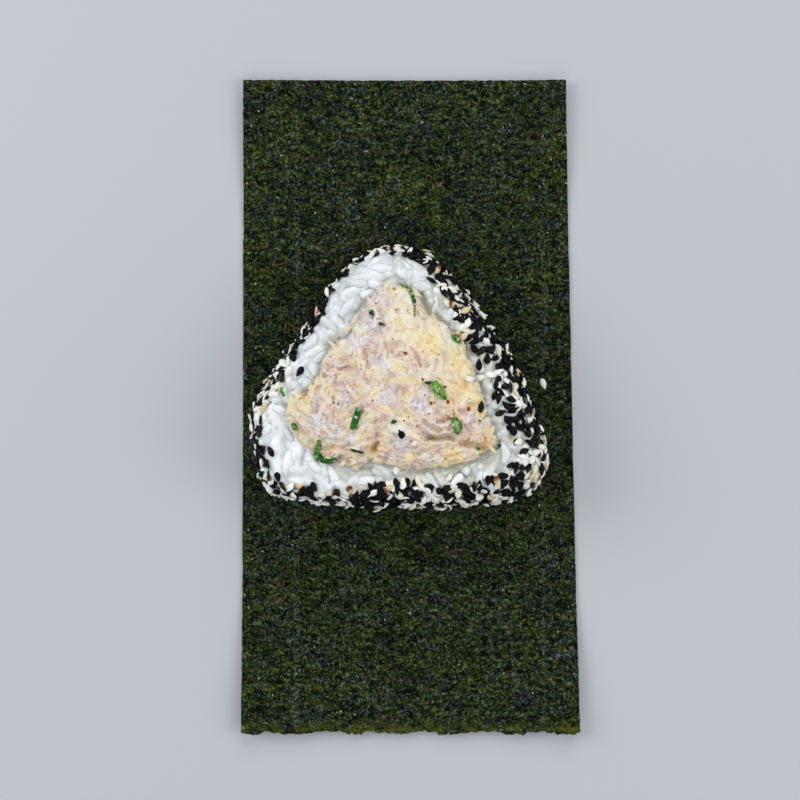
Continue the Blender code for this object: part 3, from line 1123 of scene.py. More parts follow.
# Paths in mm of the strands of fish that are darkest.
STRANDS = (
    ((4.2, -3.8), (6.2, -4.8), (7.6, -6.4)), ((3.4, -7.3), (5.4, -6.5), (8.6, -6.4)),
    ((6.4, -2.2), (8.6, -3.2), (10.6, -3.6)), ((14.0, -3.0), (16.0, -5.4), (17.4, -7.2)),
    ((17.0, -10.2), (19.5, -9.6), (22.0, -8.8)), ((-14.6, 19.5), (-13.2, 15.5), (-12.8, 13.0)),
    ((-17.0, 10.2), (-15.0, 11.4)), ((-24.8, 11.4), (-23.0, 12.4)), ((-22.6, 8.0), (-21.2, 7.0)),
    ((-13.8, 9.6), (-12.2, 7.2)), ((0.4, 17.8), (1.6, 15.6), (2.8, 13.2)), ((-7.8, 19.6), (-7.0, 17.6)),
    ((7.6, 14.6), (6.8, 11.0)), ((-14.4, 0.2), (-12.2, 1.3)), ((-7.6, 6.6), (-6.4, 4.4)),
    ((-23.0, 1.2), (-21.0, 1.8)), ((15.6, -0.4), (16.0, -1.8)),
)
print("patches of fish:", len(FISH), "dark strands:", len(STRANDS))

# %% [markdown]
# Flaked fish shows its grain: within a patch the fibres run side by side. So the direction at a point is
# that of the nearest patch, a little waved, and the same rule gives how far a point lies along and across
# the fibres for the colour to follow.

# %% Helpers that follow the fibres of the fish
def nearest_fish(points):
    """Middle and fibre direction, as an angle, of the patch of fish nearest each point."""
    middles = np.array([(x, y) for x, y, _, _ in FISH]) * MM
    angles = np.radians([angle for _, _, _, angle in FISH])
    nearest = np.linalg.norm(points[:, None, :2] - middles[None], axis=2).argmin(axis=1)
    return middles[nearest], angles[nearest]


def fibre_directions(points):
    """The direction of the fibres at each point, as flat vectors."""
    angles = nearest_fish(points)[1] + 0.5 * wander(points, 4 * MM)
    return np.stack((np.cos(angles), np.sin(angles), np.zeros(len(points))), axis=1)


def fibre_places(points):
    """How far each point lies along and across the fibres, from the middle of its patch."""
    middles, angles = nearest_fish(points)
    x, y = (points[:, :2] - middles).T
    return x * np.cos(angles) + y * np.sin(angles), y * np.cos(angles) - x * np.sin(angles)


# %% [markdown]
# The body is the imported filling, made even by a voxel remesh and smoothed. Lobes are pulled up and hollows
# pressed in by proportional editing, which moves one point and lets its neighbours follow. Displacing it by
# noise gives it the look of a spooned heap, and low down, round the rim, the noise pushes sideways as well,
# so that the filling ends on the rice in small bays and tongues.

# %% Shape the body of the filling
def squeeze_above(piece, level):
    """Squeeze what stands above a level down to a third of its height over it."""
    edit(piece)
    pick(piece, "VERT", lambda place, normal: place.z > level)
    bpy.ops.transform.resize(value=(1.0, 1.0, 0.33), center_override=(0.0, 0.0, level))
    done()


def press(piece, places):
    """Move the skin up or down at each place in mm: x, y, height and radius."""
    edit(piece)
    bpy.ops.mesh.select_mode(type="VERT")
    shape = bmesh.from_edit_mesh(piece.data)
    top = [point for point in shape.verts if point.normal.z > 0.2]
    for x, y, height, radius in places:
        bpy.ops.mesh.select_all(action="DESELECT")
        nearest = min(top, key=lambda point: (point.co.x - x * MM) ** 2 + (point.co.y - y * MM) ** 2)
        nearest.select_set(True)
        bmesh.update_edit_mesh(piece.data)
        bpy.ops.transform.translate(
            value=(0.0, 0.0, height * MM), use_proportional_edit=True, proportional_size=radius * MM
        )
    done()


# Middle x, y, height and radius in mm of the lobes, and of two hollows, whose height is below 0.
LOBES = (
    (-24.0, -8.0, 0.6, 5.0), (-18.0, -3.0, 0.6, 4.0), (-20.0, 3.5, 0.5, 4.0), (-6.0, 12.0, 0.5, 5.0),
    (1.0, 18.0, 0.5, 5.0), (8.0, 10.0, 0.6, 5.0), (15.0, 3.0, 0.5, 5.0), (4.0, -14.5, 0.6, 4.5),
    (14.0, -14.0, 0.6, 4.0), (20.0, -8.0, 0.5, 3.5), (-4.0, 30.0, 0.5, 4.0), (-16.0, -11.5, 0.5, 4.0),
    (9.0, -7.2, 0.5, 3.0), (-10.6, -11.6, -1.3, 3.4), (-32.0, 7.4, -3.0, 2.8),
)
RIM_LOW = RICE_HIGH.z + 0.4 * MM
RIM_HEIGHT = 1.6 * MM

filling = copy_of_node("tuna_filling", "tuna_filling_paste")
modified(filling, "REMESH", mode="VOXEL", voxel_size=0.7 * MM)
modified(filling, "SMOOTH", factor=0.5, iterations=8)
press(filling, LOBES)
roughened(filling, 4.5 * MM, 1.9 * MM, "NORMAL", 0.60)
roughened(filling, 2.2 * MM, 0.8 * MM)
weigh(filling, "rim", lambda p: 1.0 - (p.z - RIM_LOW) / RIM_HEIGHT)
roughened(filling, 2.4 * MM, 3.4 * MM, "X", 0.5, "rim")
roughened(filling, 2.1 * MM, 3.4 * MM, "Y", 0.5, "rim")
print("filling body faces:", len(filling.data.polygons))

# %% [markdown]
# Three kinds of lump lie in the cream: shreds of fish, finer fibres, and curds with a corner drawn out. Two
# shapes of each are modelled from the small ball, as the grains and seeds were.

# %% Model flakes, curds and fibres
SHRED = Vector((3.8 * MM, 1.15 * MM, 0.85 * MM))
CURD = Vector((2.5 * MM, 1.9 * MM, 1.2 * MM))
FIBRE = Vector((4.2 * MM, 0.50 * MM, 0.50 * MM))


def model_shred(number, size, bend, lift):
    """One shred of fish: a short bent bundle with ragged ends."""
    shred = start_bean(f"shred model {number}", size)
    half = size.x / 2.0
    pick(shred, "VERT", lambda place, normal: abs(place.x) > 0.5 * half)
    bpy.ops.transform.resize(value=(1.0, 1.15, 1.1), center_override=(0.0, 0.0, 0.0))
    pick(shred, "VERT", lambda place, normal: place.x > 0.4 * half)
    bpy.ops.transform.translate(
        value=(0.0, bend, lift), use_proportional_edit=True, proportional_size=half
    )
    return taken(shred)


def model_curd(number, pull):
    """One curd: a lump with a corner drawn out."""
    curd = start_bean(f"curd model {number}", CURD)
    pick(curd, "VERT", lambda place, normal: place.x > 0.3 * CURD.x and place.y > 0.0)
    bpy.ops.transform.translate(value=pull, use_proportional_edit=True, proportional_size=CURD.x / 2.0)
    return taken(curd)


lumps = [
    model_shred(1, SHRED, 0.5 * MM, 0.15 * MM),
    model_shred(2, SHRED, -0.4 * MM, -0.1 * MM),
    model_curd(1, (0.5 * MM, 0.6 * MM, 0.1 * MM)),
    model_curd(2, (0.3 * MM, -0.6 * MM, 0.2 * MM)),
    model_shred(3, FIBRE, 0.5 * MM, 0.1 * MM),
    model_shred(4, FIBRE, -0.6 * MM, 0.0),
]
SHREDS, CURDS, FIBRES = (0, 2), (2, 4), (4, 6)
print("faces of one lump:", len(lumps[0][1]))

# %% [markdown]
# The lumps are strewn over the body in coats, each with its own gap, height and size: large curds first, then
# shreds, crumbs of curd, fibres on the fish alone, and a few proud ones on the slopes. Little falls on the
# smooth cream. The peaks that stand out round the edge are set one by one.

# %% Strew the lumps over the body
chance = np.random.default_rng(5)


def strew(kinds, count, gap, rise, scale, share_of, flattest=1.0):
    """One coat of lumps: models, axes, centres, sizes and tones. share_of gives the chance at each point."""
    points, normals = scattered(filling, count, chance)
    shown = (normals[:, 2] > -0.2) & (normals[:, 2] <= flattest) & (points[:, 2] > RICE_HIGH.z - 1.2 * MM)
    shown &= chance.random(count) < share_of(points)
    points, normals = points[shown], normals[shown]
    kept = spread_out(points, gap)
    points, normals = points[kept], normals[kept]
    total = len(points)
    along = fibre_directions(points) + chance.normal(0.0, 0.25, (total, 3))
    along = unit(along - normals * (along * normals).sum(1, keepdims=True))
    axes = np.stack((along, np.cross(normals, along), normals), axis=2)
    sizes = scale * chance.lognormal(0.0, 0.26, (total, 3)).clip(0.55, 1.7)
    centres = points + normals * (rise + chance.normal(0.0, 0.14 * MM, total))[:, None]
    tones = (0.5 + 0.30 * wander(points, 5 * MM) + chance.normal(0.0, 0.28, total)).clip(0.0, 1.0)
    return chance.integers(*kinds, total), axes, centres, sizes, tones


# Middle x and y in mm, direction in degrees and size of the lumps and peaks that stand out round the edge.
EDGE_LUMPS = (
    (-22.8, 18.8, 125, 1.1), (-25.6, 13.0, 75, 1.0), (-26.4, 9.0, 80, 0.8), (-28.0, 6.0, 60, 1.0),
    (-29.8, 3.6, 55, 1.2), (-34.2, 4.6, 100, 1.0), (-33.6, 2.4, 30, 1.0), (-35.5, -0.4, 80, 0.9),
    (-36.0, -2.9, 180, 0.8), (-31.5, -6.4, 120, 1.0), (-28.4, -8.6, 130, 0.9), (-20.0, -15.6, -90, 1.0),
    (-16.6, -15.0, 20, 0.9), (-12.4, -14.0, 20, 1.0), (-5.6, -14.8, -30, 1.0), (0.3, -16.0, -90, 0.6),
    (4.0, -16.2, -20, 1.0), (9.0, -16.0, 20, 1.0), (14.5, -14.6, 30, 1.0), (18.6, -13.2, 30, 0.9),
    (23.6, -12.0, -60, 1.0), (24.2, -9.6, 80, 0.9), (22.8, -4.0, 80, 0.8), (9.4, 24.2, 10, 1.0),
    (1.6, 29.8, -50, 1.0), (-12.8, 31.4, 100, 0.8), (-13.4, 28.6, 120, 0.9), (-19.4, 23.2, 45, 1.1),
    (-16.6, 26.0, 45, 1.0), (-6.0, 36.4, 10, 0.9),
)


def edge_lumps():
    """The lumps round the edge, as a coat like those of strew."""
    x, y, angles, scale = np.array(EDGE_LUMPS).T
    skin, total = tree_of(filling), len(EDGE_LUMPS)
    starts = [Vector((here * MM, there * MM, RICE_HIGH.z + 0.5 * MM)) for here, there in zip(x, y)]
    heights = [skin.find_nearest(start)[0].z + 0.15 * MM for start in starts]
    centres = np.stack((x * MM, y * MM, heights), axis=1)
    rise = np.full(total, 0.25)
    along = unit(np.stack((np.cos(np.radians(angles)), np.sin(np.radians(angles)), rise), axis=1))
    across = unit(np.cross(UP, along))
    axes = np.stack((along, across, np.cross(along, across)), axis=2)
    sizes = scale[:, None] * np.array((1.15, 1.0, 1.1))
    return np.arange(total) % 4, axes, centres, sizes, chance.uniform(0.3, 1.0, total)


def fishy(points):
    """Chance of fibres: only in the patches of fish."""
    return patched(points, [patch[:3] for patch in FISH]) * 0.9


def flaky(points):
    """Chance of shreds and curds: little in the smooth cream."""
    return 1.0 - 0.85 * patched(points, SMOOTH_CREAM)


coats = (
    strew(CURDS, 9000, 2.9 * MM, -0.15 * MM, 1.15, flaky),
    strew(SHREDS, 9000, 2.3 * MM, 0.05 * MM, 1.0, flaky),
    strew(CURDS, 16000, 1.25 * MM, 0.14 * MM, 0.42, flaky),
    strew(FIBRES, 16000, 0.85 * MM, 0.30 * MM, 1.0, fishy),
    strew(CURDS, 9000, 2.2 * MM, 0.35 * MM, 0.75, flaky, 0.75),
    strew(SHREDS, 9000, 2.9 * MM, 0.50 * MM, 0.9, flaky, 0.65),
    edge_lumps(),
)
lump_heap = joined("shreds", lumps, *(np.concatenate(parts) for parts in zip(*coats)))
lump_places = [point.co.copy() for point in lump_heap.data.vertices]
lump_tones = [item.value for item in lump_heap.data.attributes["tone"].data]
print("flakes, curds and fibres:", sum(len(coat[0]) for coat in coats))

# %% [markdown]
# A finer voxel remesh melts lumps and body into one coated skin. Grooves are then pressed into it: each
# selects the points along a path and moves them down with proportional editing, so that the sides of the
# groove follow softly. A fine noise roughens the skin, and what stands too high is squeezed down towards
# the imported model's height.

# %% Melt lumps and body into one skin
# Depth and radius in mm, and path, of each groove: the crease over the lower lobe in two stretches, the notch
# beside it, the furrow down the left, and shorter ones between the flakes.
GROOVES = (
    (1.7, 1.5, ((5.0, -8.7), (8.4, -8.9), (10.6, -8.5), (12.6, -9.2))),
    (1.5, 1.5, ((14.6, -10.0), (16.8, -10.6), (19.5, -11.3), (21.5, -11.9))),
    (1.1, 1.8, ((-9.9, -8.8), (-10.4, -10.6), (-11.2, -12.8))),
    (0.6, 1.8, ((-13.6, 17.5), (-12.4, 13.0), (-13.0, 9.5), (-12.2, 6.0), (-14.2, 2.5), (-14.0, -1.0))),
    (1.3, 1.3, ((9.4, -3.9), (11.3, -2.7), (12.8, -3.2))),
    (1.0, 1.2, ((3.6, -4.0), (5.6, -5.6), (8.0, -6.6))),
    (0.8, 1.2, ((0.2, 17.0), (1.2, 14.6), (2.6, 12.8))),
    (0.9, 1.4, ((-24.6, 12.0), (-21.0, 11.4), (-16.4, 11.9))),
    (0.9, 1.4, ((-27.4, 6.0), (-27.0, 2.5), (-28.4, -1.0))),
    (0.9, 1.4, ((-24.5, -11.6), (-21.0, -11.9), (-18.5, -11.0))),
)


def off_path(points, path):
    """How far each point lies from a path of (x, y) places in mm, seen from above."""
    nearest = np.full(len(points), np.inf)
    for start, end in zip(path, path[1:]):
        start, step = np.array(start) * MM, np.subtract(end, start) * MM
        along = ((points[:, :2] - start) @ step / (step @ step)).clip(0.0, 1.0)
        away = np.linalg.norm(points[:, :2] - start - along[:, None] * step, axis=1)
        nearest = np.minimum(nearest, away)
    return nearest


def groove(piece, depth, radius, path):
    """Press a groove of this depth and radius in mm into the skin along a path."""
    edit(piece)
    bpy.ops.mesh.select_mode(type="VERT")
    bpy.ops.mesh.select_all(action="DESELECT")
    shape = bmesh.from_edit_mesh(piece.data)
    points = np.array([tuple(point.co) for point in shape.verts])
    for point, away in zip(shape.verts, off_path(points, path)):
        point.select_set(bool(away < 0.3 * MM and point.normal.z > 0.3))
    bmesh.update_edit_mesh(piece.data)
    bpy.ops.transform.translate(
        value=(0.0, 0.0, -depth * MM), use_proportional_edit=True, proportional_size=radius * MM
    )
    done()


alone(filling)
lump_heap.select_set(True)
bpy.ops.object.join()
modified(filling, "REMESH", mode="VOXEL", voxel_size=0.30 * MM)
for depth, radius, path in GROOVES:
    groove(filling, depth, radius, path)
roughened(filling, 0.9 * MM, 0.30 * MM)
squeeze_above(filling, FILLING_HIGH.z - 0.5 * MM)
modified(filling, "DECIMATE", ratio=0.85)
print("filling faces:", len(filling.data.polygons))

# %% [markdown]
# The skin needs to know what lies under each point. The nearest lump gives it a tone, the patches give it
# their shares, and the paths give it the creases that take painted shade and the dark strands. Two more
# values place it along and across the fibres, and one holds how far it stands above the smoothed skin, so
# that hollows can take painted shade and rises painted highlights.

# %% Mark fish, cream, creases and hollows on the filling
SHALLOW = 0.7  # a groove no deeper than this, in mm, isn't darkened
STRAND_HALF_WIDTH = 0.75 * MM

skin_points = np.array([tuple(point.co) for point in filling.data.vertices])
marked(filling, "tone", spread_tone(filling, lump_places, lump_tones, 0.12 * MM))
marked(filling, "mayonnaise", patched(skin_points, MAYONNAISE))
marked(filling, "cream", patched(skin_points, SMOOTH_CREAM))
marked(filling, "fish", patched(skin_points, [patch[:3] for patch in FISH]))
marked(filling, "browned", patched(skin_points, BROWN_PATCHES_AND_CREASE_SHADE))
marked(filling, "warm", patched(skin_points, WARM))
# Painted shade in the creases: grooves deeper than SHALLOW are marked, most along their paths.
creases = [
    (depth - SHALLOW) * (1.0 - off_path(skin_points, path) / (0.5 * radius * MM))
    for depth, radius, path in GROOVES if depth > SHALLOW
]
marked(filling, "crease", np.max(creases, axis=0).clip(0.0, 1.0))
off_strands = np.min([off_path(skin_points, path) for path in STRANDS], axis=0)
marked(filling, "strand", (1.0 - off_strands / STRAND_HALF_WIDTH).clip(0.0, 1.0))
fibre_along, fibre_across = fibre_places(skin_points)
marked(filling, "fibre along", fibre_along / MM)
marked(filling, "fibre across", fibre_across / MM)
mark_height(filling, 0.40 * MM, 50)

# %% [markdown]
# The cream is built up from noises of several sizes, from crumbs under half a millimetre to broad moods,
# summed to one value that a ramp turns into colour. Islands of yolk yellow and of pinkish fish lie in it,
# the smooth cream is paler and richer, and a few places are warmer. A little subsurface scattering softens
# it.

# %% Cream of the filling
filling_finish, shader, place = new_finish(
    "tuna mayonnaise", Subsurface_Weight=0.28, Subsurface_Scale=0.6 * MM, Specular_IOR_Level=0.50,
    Subsurface_Radius=(1.0, 0.7, 0.5),
)
tone = attribute(place, "tone")
drift = place.warped(1.6 * MM, 1.4 * MM)
grain = drift.cloud(0.8 * MM, 4.0, 0.65)
crumb = place.cloud(0.42 * MM, 2.0, 0.60, shift=5.0)
mottle = drift.cloud(2.6 * MM, 3.0, 0.60, shift=8.0)
broad = place.cloud(6.5 * MM, 2.0, 0.50, shift=21.0)
mood = tone * 0.28 + grain * 0.24 + crumb * 0.22 + mottle * 0.17 + broad * 0.09
colour = mood.ramp(
    (0.34, (0.62, 0.43, 0.31)),
    (0.41, (0.76, 0.58, 0.41)),
    (0.46, (0.84, 0.70, 0.47)),
    (0.50, (0.85, 0.76, 0.60)),
    (0.55, (0.91, 0.77, 0.49)),
    (0.62, (0.94, 0.88, 0.74)),
)
islands = drift.cloud(3.8 * MM, 2.0, 0.55, shift=33.0)
colour = (islands.fade(0.50, 0.58) * 0.80).blend(colour, (0.95, 0.80, 0.48))
colour = (islands.fade(0.47, 0.37) * 0.80).blend(colour, (0.69, 0.45, 0.37))
rich = mood.ramp((0.36, (0.84, 0.69, 0.46)), (0.46, (0.97, 0.88, 0.67)), (0.58, (0.99, 0.96, 0.84)))
cream = attribute(place, "cream")
colour = (cream * 0.85).blend(colour, rich)
colour = (attribute(place, "warm") * (0.30 + mottle * 0.9)).blend(colour, (1.00, 0.77, 0.35))
print("nodes in the filling's finish so far:", len(filling_finish.node_tree.nodes))

# %% [markdown]
# Fish is pink, with mauve strands that follow its fibres and pale ones that are painted highlights along
# them: a noise is read at the place along and across the fibres instead of at the position, and drawn out
# along them. The strands show a little in the cream as well. A few dark strands lie where they were marked.

# %% Fish in the filling
fish = attribute(place, "fish")
pink = mood.ramp((0.36, (0.60, 0.32, 0.31)), (0.46, (0.85, 0.57, 0.51)), (0.58, (0.97, 0.80, 0.70)))
colour = (fish * (mottle * 1.3)).blend(colour, pink)
fibre_grid = place.node("ShaderNodeCombineXYZ", None, {
    0: attribute(place, "fibre along") * 0.42 + mottle * 1.5,
    1: attribute(place, "fibre across") * 2.3 + mottle * 3.0,
})
strand = fibre_grid.cloud(1.0, 2.0, 0.55)
strands = (0.22 + fish * 0.78) * (1.0 - cream * 0.7)
colour = (strand.fade(0.47, 0.35) * strands * 0.80).blend(colour, (0.40, 0.22, 0.22))
# The pale strands are painted highlights along the fibres.
colour = (strand.fade(0.54, 0.64) * strands * 0.70).blend(colour, (0.94, 0.83, 0.72))
dark_strand = attribute(place, "strand") * (strand * 0.5 + grain * 0.5).fade(0.62, 0.42)
colour = (dark_strand * 0.85).blend(colour, (0.46, 0.20, 0.23))
print("nodes in the filling's finish so far:", len(filling_finish.node_tree.nodes))

# %% [markdown]
# Plain mayonnaise is a cool grey-white. It lies in a few soft patches, and in small mottles all over. Browned
# patches, partly painted shade, then painted shade in hollows and creases and painted highlights on raised
# edges come last, because they lie over everything else.

# %% Mayonnaise, browned patches, painted shade and painted highlights of the filling
pale = mood.ramp((0.36, (0.55, 0.48, 0.52)), (0.48, (0.75, 0.70, 0.74)), (0.60, (0.92, 0.90, 0.92)))
mottles = mottle.fade(0.52, 0.64) * (1.0 - cream) * 0.60
cool = attribute(place, "mayonnaise") * (0.45 + mottle * 0.7)
colour = (cool + mottles).blend(colour, pale)
tan = mood.ramp((0.36, (0.52, 0.29, 0.11)), (0.48, (0.83, 0.54, 0.26)), (0.60, (0.95, 0.70, 0.37)))
# Browned patches: partly the cream's own browning, partly painted shade in creases and hollows.
colour = (attribute(place, "browned") * (grain * 1.2 + 0.15)).blend(colour, tan)
relief_height = attribute(place, "height")
# Painted shade in the hollows and painted highlights on the raised edges, from the height over the smoothed
# skin.
colour = (relief_height.fade(-0.05, -0.9) * 0.40).blend(colour, (0.58, 0.40, 0.27))
colour = (relief_height.fade(0.15, 0.9) * 0.35).blend(colour, (0.98, 0.93, 0.82))
# Painted shade: the deeper grooves are darkened brown.
crease = attribute(place, "crease") * (mottle + grain).fade(0.84, 1.08)
colour = (crease * 0.75).blend(colour, (0.38, 0.23, 0.11))
feed(
    shader,
    Base_Color=colour,
    Roughness=0.20 + grain * 0.30,
    Normal=raised(grain * 0.45 + crumb * 0.35 + strand * strands * 0.45, 0.90 * MM, 1.0),
)
dress(filling, filling_finish, "tuna_mayonnaise", "tuna_filling")

# %% [markdown]
# ## Spring onion
#
# Spring onion is a thin tube, so chopping it gives strips, half rings and short gutters. Each piece starts
# as a square drawn out to its first stretch. Its end edge is then extruded from station to station, turned
# to the new direction and scaled to the leaf's width there. Vertex groups say how each piece will arch
# across its width, up in the middle or up at its rims.

# %% Model the flat pieces of spring onion
def set_end(strip, centre, turn, scale):
    """Turn and scale the edge of a flat strip whose middle is at centre."""
    pick(strip, "EDGE", lambda middle, direction: (middle.xy - centre.xy).length < 0.02 * MM)
    bpy.ops.transform.rotate(value=-turn, orient_axis="Z", center_override=tuple(centre))
    bpy.ops.transform.resize(value=(scale, scale, 1.0), center_override=tuple(centre))


def place_on(route, widths, point):
    """Where a point lies on a strip: how far off its middle line and how far along it, both from 0 to 1."""
    found = []
    for number, (start, end) in enumerate(zip(route, route[1:])):
        step = end - start
        along = max(0.0, min(1.0, (point - start).dot(step) / step.length_squared))
        off = (point - start - step * along).length
        width = widths[number] + (widths[number + 1] - widths[number]) * along
        found.append((off, min(1.0, 2.0 * off / width), (number + along) / (len(route) - 1)))
    return min(found)[1:]


def strap(stations, arch, tone, inside=0.0):
    """A flat strip through stations of x, y and width in mm, marked for its arch, green and pale parts."""
    route = [Vector((x * MM, y * MM, 0.0)) for x, y, _ in stations]
    widths = [width * MM for _, _, width in stations]
    steps = [after - here for here, after in zip(route, route[1:])]
    headings = [math.atan2(step.y, step.x) for step in steps]
    bpy.ops.object.select_all(action="DESELECT")
    bpy.ops.mesh.primitive_plane_add(size=1.0)
    strip = bpy.context.object
    edit(strip)
    bpy.ops.transform.resize(value=(steps[0].length, widths[0], 1.0))
    bpy.ops.transform.rotate(value=-headings[0], orient_axis="Z", center_override=(0.0, 0.0, 0.0))
    bpy.ops.transform.translate(value=tuple((route[0] + route[1]) / 2.0))
    set_end(strip, route[1], 0.0, widths[1] / widths[0])
    for number in range(1, len(steps)):
        half_turn = math.remainder(headings[number] - headings[number - 1], math.tau) / 2.0
        set_end(strip, route[number], half_turn, 1.0)
        bpy.ops.mesh.extrude_region_move(TRANSFORM_OT_translate={"value": tuple(steps[number])})
        set_end(strip, route[number + 1], half_turn, widths[number + 1] / widths[number])
    bpy.ops.mesh.select_all(action="SELECT")
    bpy.ops.mesh.subdivide(number_cuts=3)
    done()
    places = [place_on(route, widths, point.co) for point in strip.data.vertices]
    ends = [max(0.0, 1.0 - 5.0 * min(along, 1.0 - along)) for _, along in places]
    marked(strip, "tone", [tone + 0.5 * inside * (off**4 - 0.5) for off, _ in places])
    marked(strip, "pale", [max(inside * (1.0 - off**4), 0.35 * end) for (off, _), end in zip(places, ends)])
    if arch > 0.0:
        weigh(strip, "arch", lambda p: arch * (1.0 - place_on(route, widths, p)[0] ** 2))
    else:
        weigh(strip, "rims", lambda p: -arch * place_on(route, widths, p)[0] ** 2)
    return strip


leaves = [
    strap(((-27.2, -9.2, 0.5), (-27.2, -11.0, 1.6), (-28.3, -14.4, 1.7)), 0.45, 0.50, 0.35),
    strap(((-28.3, -13.9, 1.5), (-26.6, -15.2, 1.9), (-24.0, -15.7, 1.5), (-20.7, -14.3, 0.25)), 0.5, 0.35),
    strap(((-15.3, 0.2, 1.7), (-16.2, -2.8, 2.0), (-17.3, -6.2, 1.8)), 0.45, 0.40),
    strap(((6.4, 7.8, 2.2), (7.8, 5.6, 2.9), (9.8, 2.9, 1.6)), -0.85, 0.65, 0.6),
    strap(((3.9, 7.7, 0.3), (5.0, 7.5, 0.8), (6.3, 7.7, 0.5)), 0.3, 0.15),
    strap(((9.2, 3.3, 0.9), (10.4, 3.0, 0.8)), 0.3, 0.20),
    strap(((12.1, -3.0, 0.9), (13.4, -4.7, 2.9), (13.9, -6.0, 2.4), (13.3, -7.6, 0.8)), -0.7, 0.30, 0.9),
    strap(((11.9, 21.8, 0.3), (13.1, 20.7, 1.3), (14.7, 19.4, 1.2)), 0.35, 0.55),
    strap(((-11.9, 29.1, 1.3), (-11.8, 28.0, 1.2), (-11.5, 26.4, 0.3)), 0.3, 0.00),
    strap(((-9.5, 25.3, 0.5), (-8.8, 24.7, 0.9), (-8.0, 24.6, 0.4)), 0.25, 0.00),
    strap(((-17.9, -12.0, 0.3), (-16.9, -12.4, 0.7), (-15.8, -12.8, 0.4)), 0.2, 0.00),
    strap(((-15.9, -12.6, 0.3), (-14.9, -12.9, 0.6), (-14.0, -13.1, 0.3)), 0.2, 0.00),
    strap(((-3.4, 37.1, 0.4), (-1.6, 36.4, 0.6), (-0.4, 35.4, 0.9), (0.3, 34.0, 0.5)), 0.3, 0.45, 0.5),
    strap(((0.4, 33.7, 0.6), (0.8, 32.2, 1.1), (1.1, 30.6, 0.6)), 0.3, 0.20),
    strap(((1.1, 30.4, 0.4), (1.2, 28.9, 0.35), (1.0, 27.0, 0.2)), 0.2, 0.60, 0.9),
    strap(((-38.6, 6.9, 0.3), (-38.5, 5.2, 0.9), (-37.6, 3.6, 0.4)), 0.3, 0.70, 0.3),
    strap(((-35.3, -4.4, 0.5), (-34.6, -5.6, 1.6), (-33.7, -6.0, 0.9)), -0.5, 0.10, 0.9),
    strap(((-5.9, -4.2, 0.4), (-5.2, -3.9, 1.0), (-4.3, -3.6, 0.6)), 0.2, 0.05),
    strap(((19.2, -11.8, 0.4), (20.0, -11.9, 0.7), (20.6, -12.2, 0.3)), 0.2, 0.55),
    strap(((25.3, -12.0, 0.3), (25.9, -11.3, 0.7), (26.7, -10.7, 0.3)), 0.2, 0.00),
]
print("pieces of spring onion:", len(leaves))

# %% [markdown]
# All the flat pieces are joined and hung over the food. Shrinkwrap casts them straight down onto it, so
# they follow its lumps, and smoothing their heights alone lets them bridge the small ones, as a leaf does.
# Then they are arched, thickened and rounded.

# %% Wrap the pieces down onto the food and give them their thickness
LEAF_THICKNESS = 0.36 * MM
ARCH = 1.0 * MM

alone(leaves[0])
for strip in leaves:
    strip.select_set(True)
bpy.ops.object.join()
onion = leaves[0]
onion.name = "spring_onion"
edit(onion)
bpy.ops.transform.translate(value=(0.0, 0.0, FILLING_HIGH.z + 2 * MM))
done()

food = filling.copy()
food.data = filling.data.copy()
bpy.context.scene.collection.objects.link(food)
for other in (core, rice):
    extra = other.copy()
    extra.data = other.data.copy()
    bpy.context.scene.collection.objects.link(extra)
    alone(food)
    extra.select_set(True)
    bpy.ops.object.join()
modified(
    onion, "SHRINKWRAP", target=food, wrap_method="PROJECT", use_project_z=True,
    use_negative_direction=True, use_positive_direction=False, offset=0.35 * MM,
)
bpy.data.objects.remove(food)
modified(onion, "SMOOTH", factor=0.5, iterations=8, use_x=False, use_y=False)
modified(onion, "DISPLACE", direction="Z", strength=ARCH, mid_level=0.0, vertex_group="arch")
modified(onion, "DISPLACE", direction="Z", strength=ARCH, mid_level=0.0, vertex_group="rims")
modified(onion, "SOLIDIFY", thickness=LEAF_THICKNESS, offset=0.0)
modified(onion, "BEVEL", width=0.07 * MM, segments=1)
modified(onion, "SUBSURF", levels=1, render_levels=1)
squeeze_above(onion, FILLING_HIGH.z + 0.3 * MM)
print("spring onion faces:", len(onion.data.polygons))

# %% [markdown]
# A leaf is dark green at its tip and yellower towards the stalk, so each piece carries a tone, and the
# inside of the tube is pale and veined. A few pale spots on it are painted highlights.

# %% Finish of the spring onion
onion_finish, shader, place = new_finish("spring onion leaf", Specular_IOR_Level=0.20)
veins = place.cloud(0.45 * MM, 3.0, 0.6)
broad = place.warped(1.0 * MM, 0.8 * MM).cloud(1.5 * MM, 3.0, 0.6, shift=6.0)
inside = attribute(place, "pale")
green = attribute(place, "tone") + (broad - 0.5) * (1.2 + inside * 2.0)
colour = green.ramp(
    (0.00, (0.003, 0.034, 0.009)), (0.30, (0.008, 0.085, 0.004)), (0.60, (0.030, 0.190, 0.010)),
    (1.00, (0.140, 0.360, 0.012)),
)
pale = inside * (veins * 0.6 + broad * 0.4).fade(0.43, 0.53)
colour = pale.blend(colour, (0.34, 0.51, 0.15))
# Painted highlights: a few small pale spots on the leaves.
onion_glint = place.cloud(1.1 * MM, 2.0, 0.5, shift=14.0).fade(0.585, 0.66)
colour = (onion_glint * 0.85).blend(colour, (0.66, 0.66, 0.60))
feed(shader, Base_Color=colour, Roughness=0.28 + veins * 0.2, Normal=raised(veins, 0.15 * MM, 0.5))
dress(onion, onion_finish, "spring_onion")

# %% [markdown]
# A few seeds lie alone, away from the coating: one fell on the nori, some stuck to the rice and one sank in
# the mayonnaise. They are set one by one, and settle as the others did.

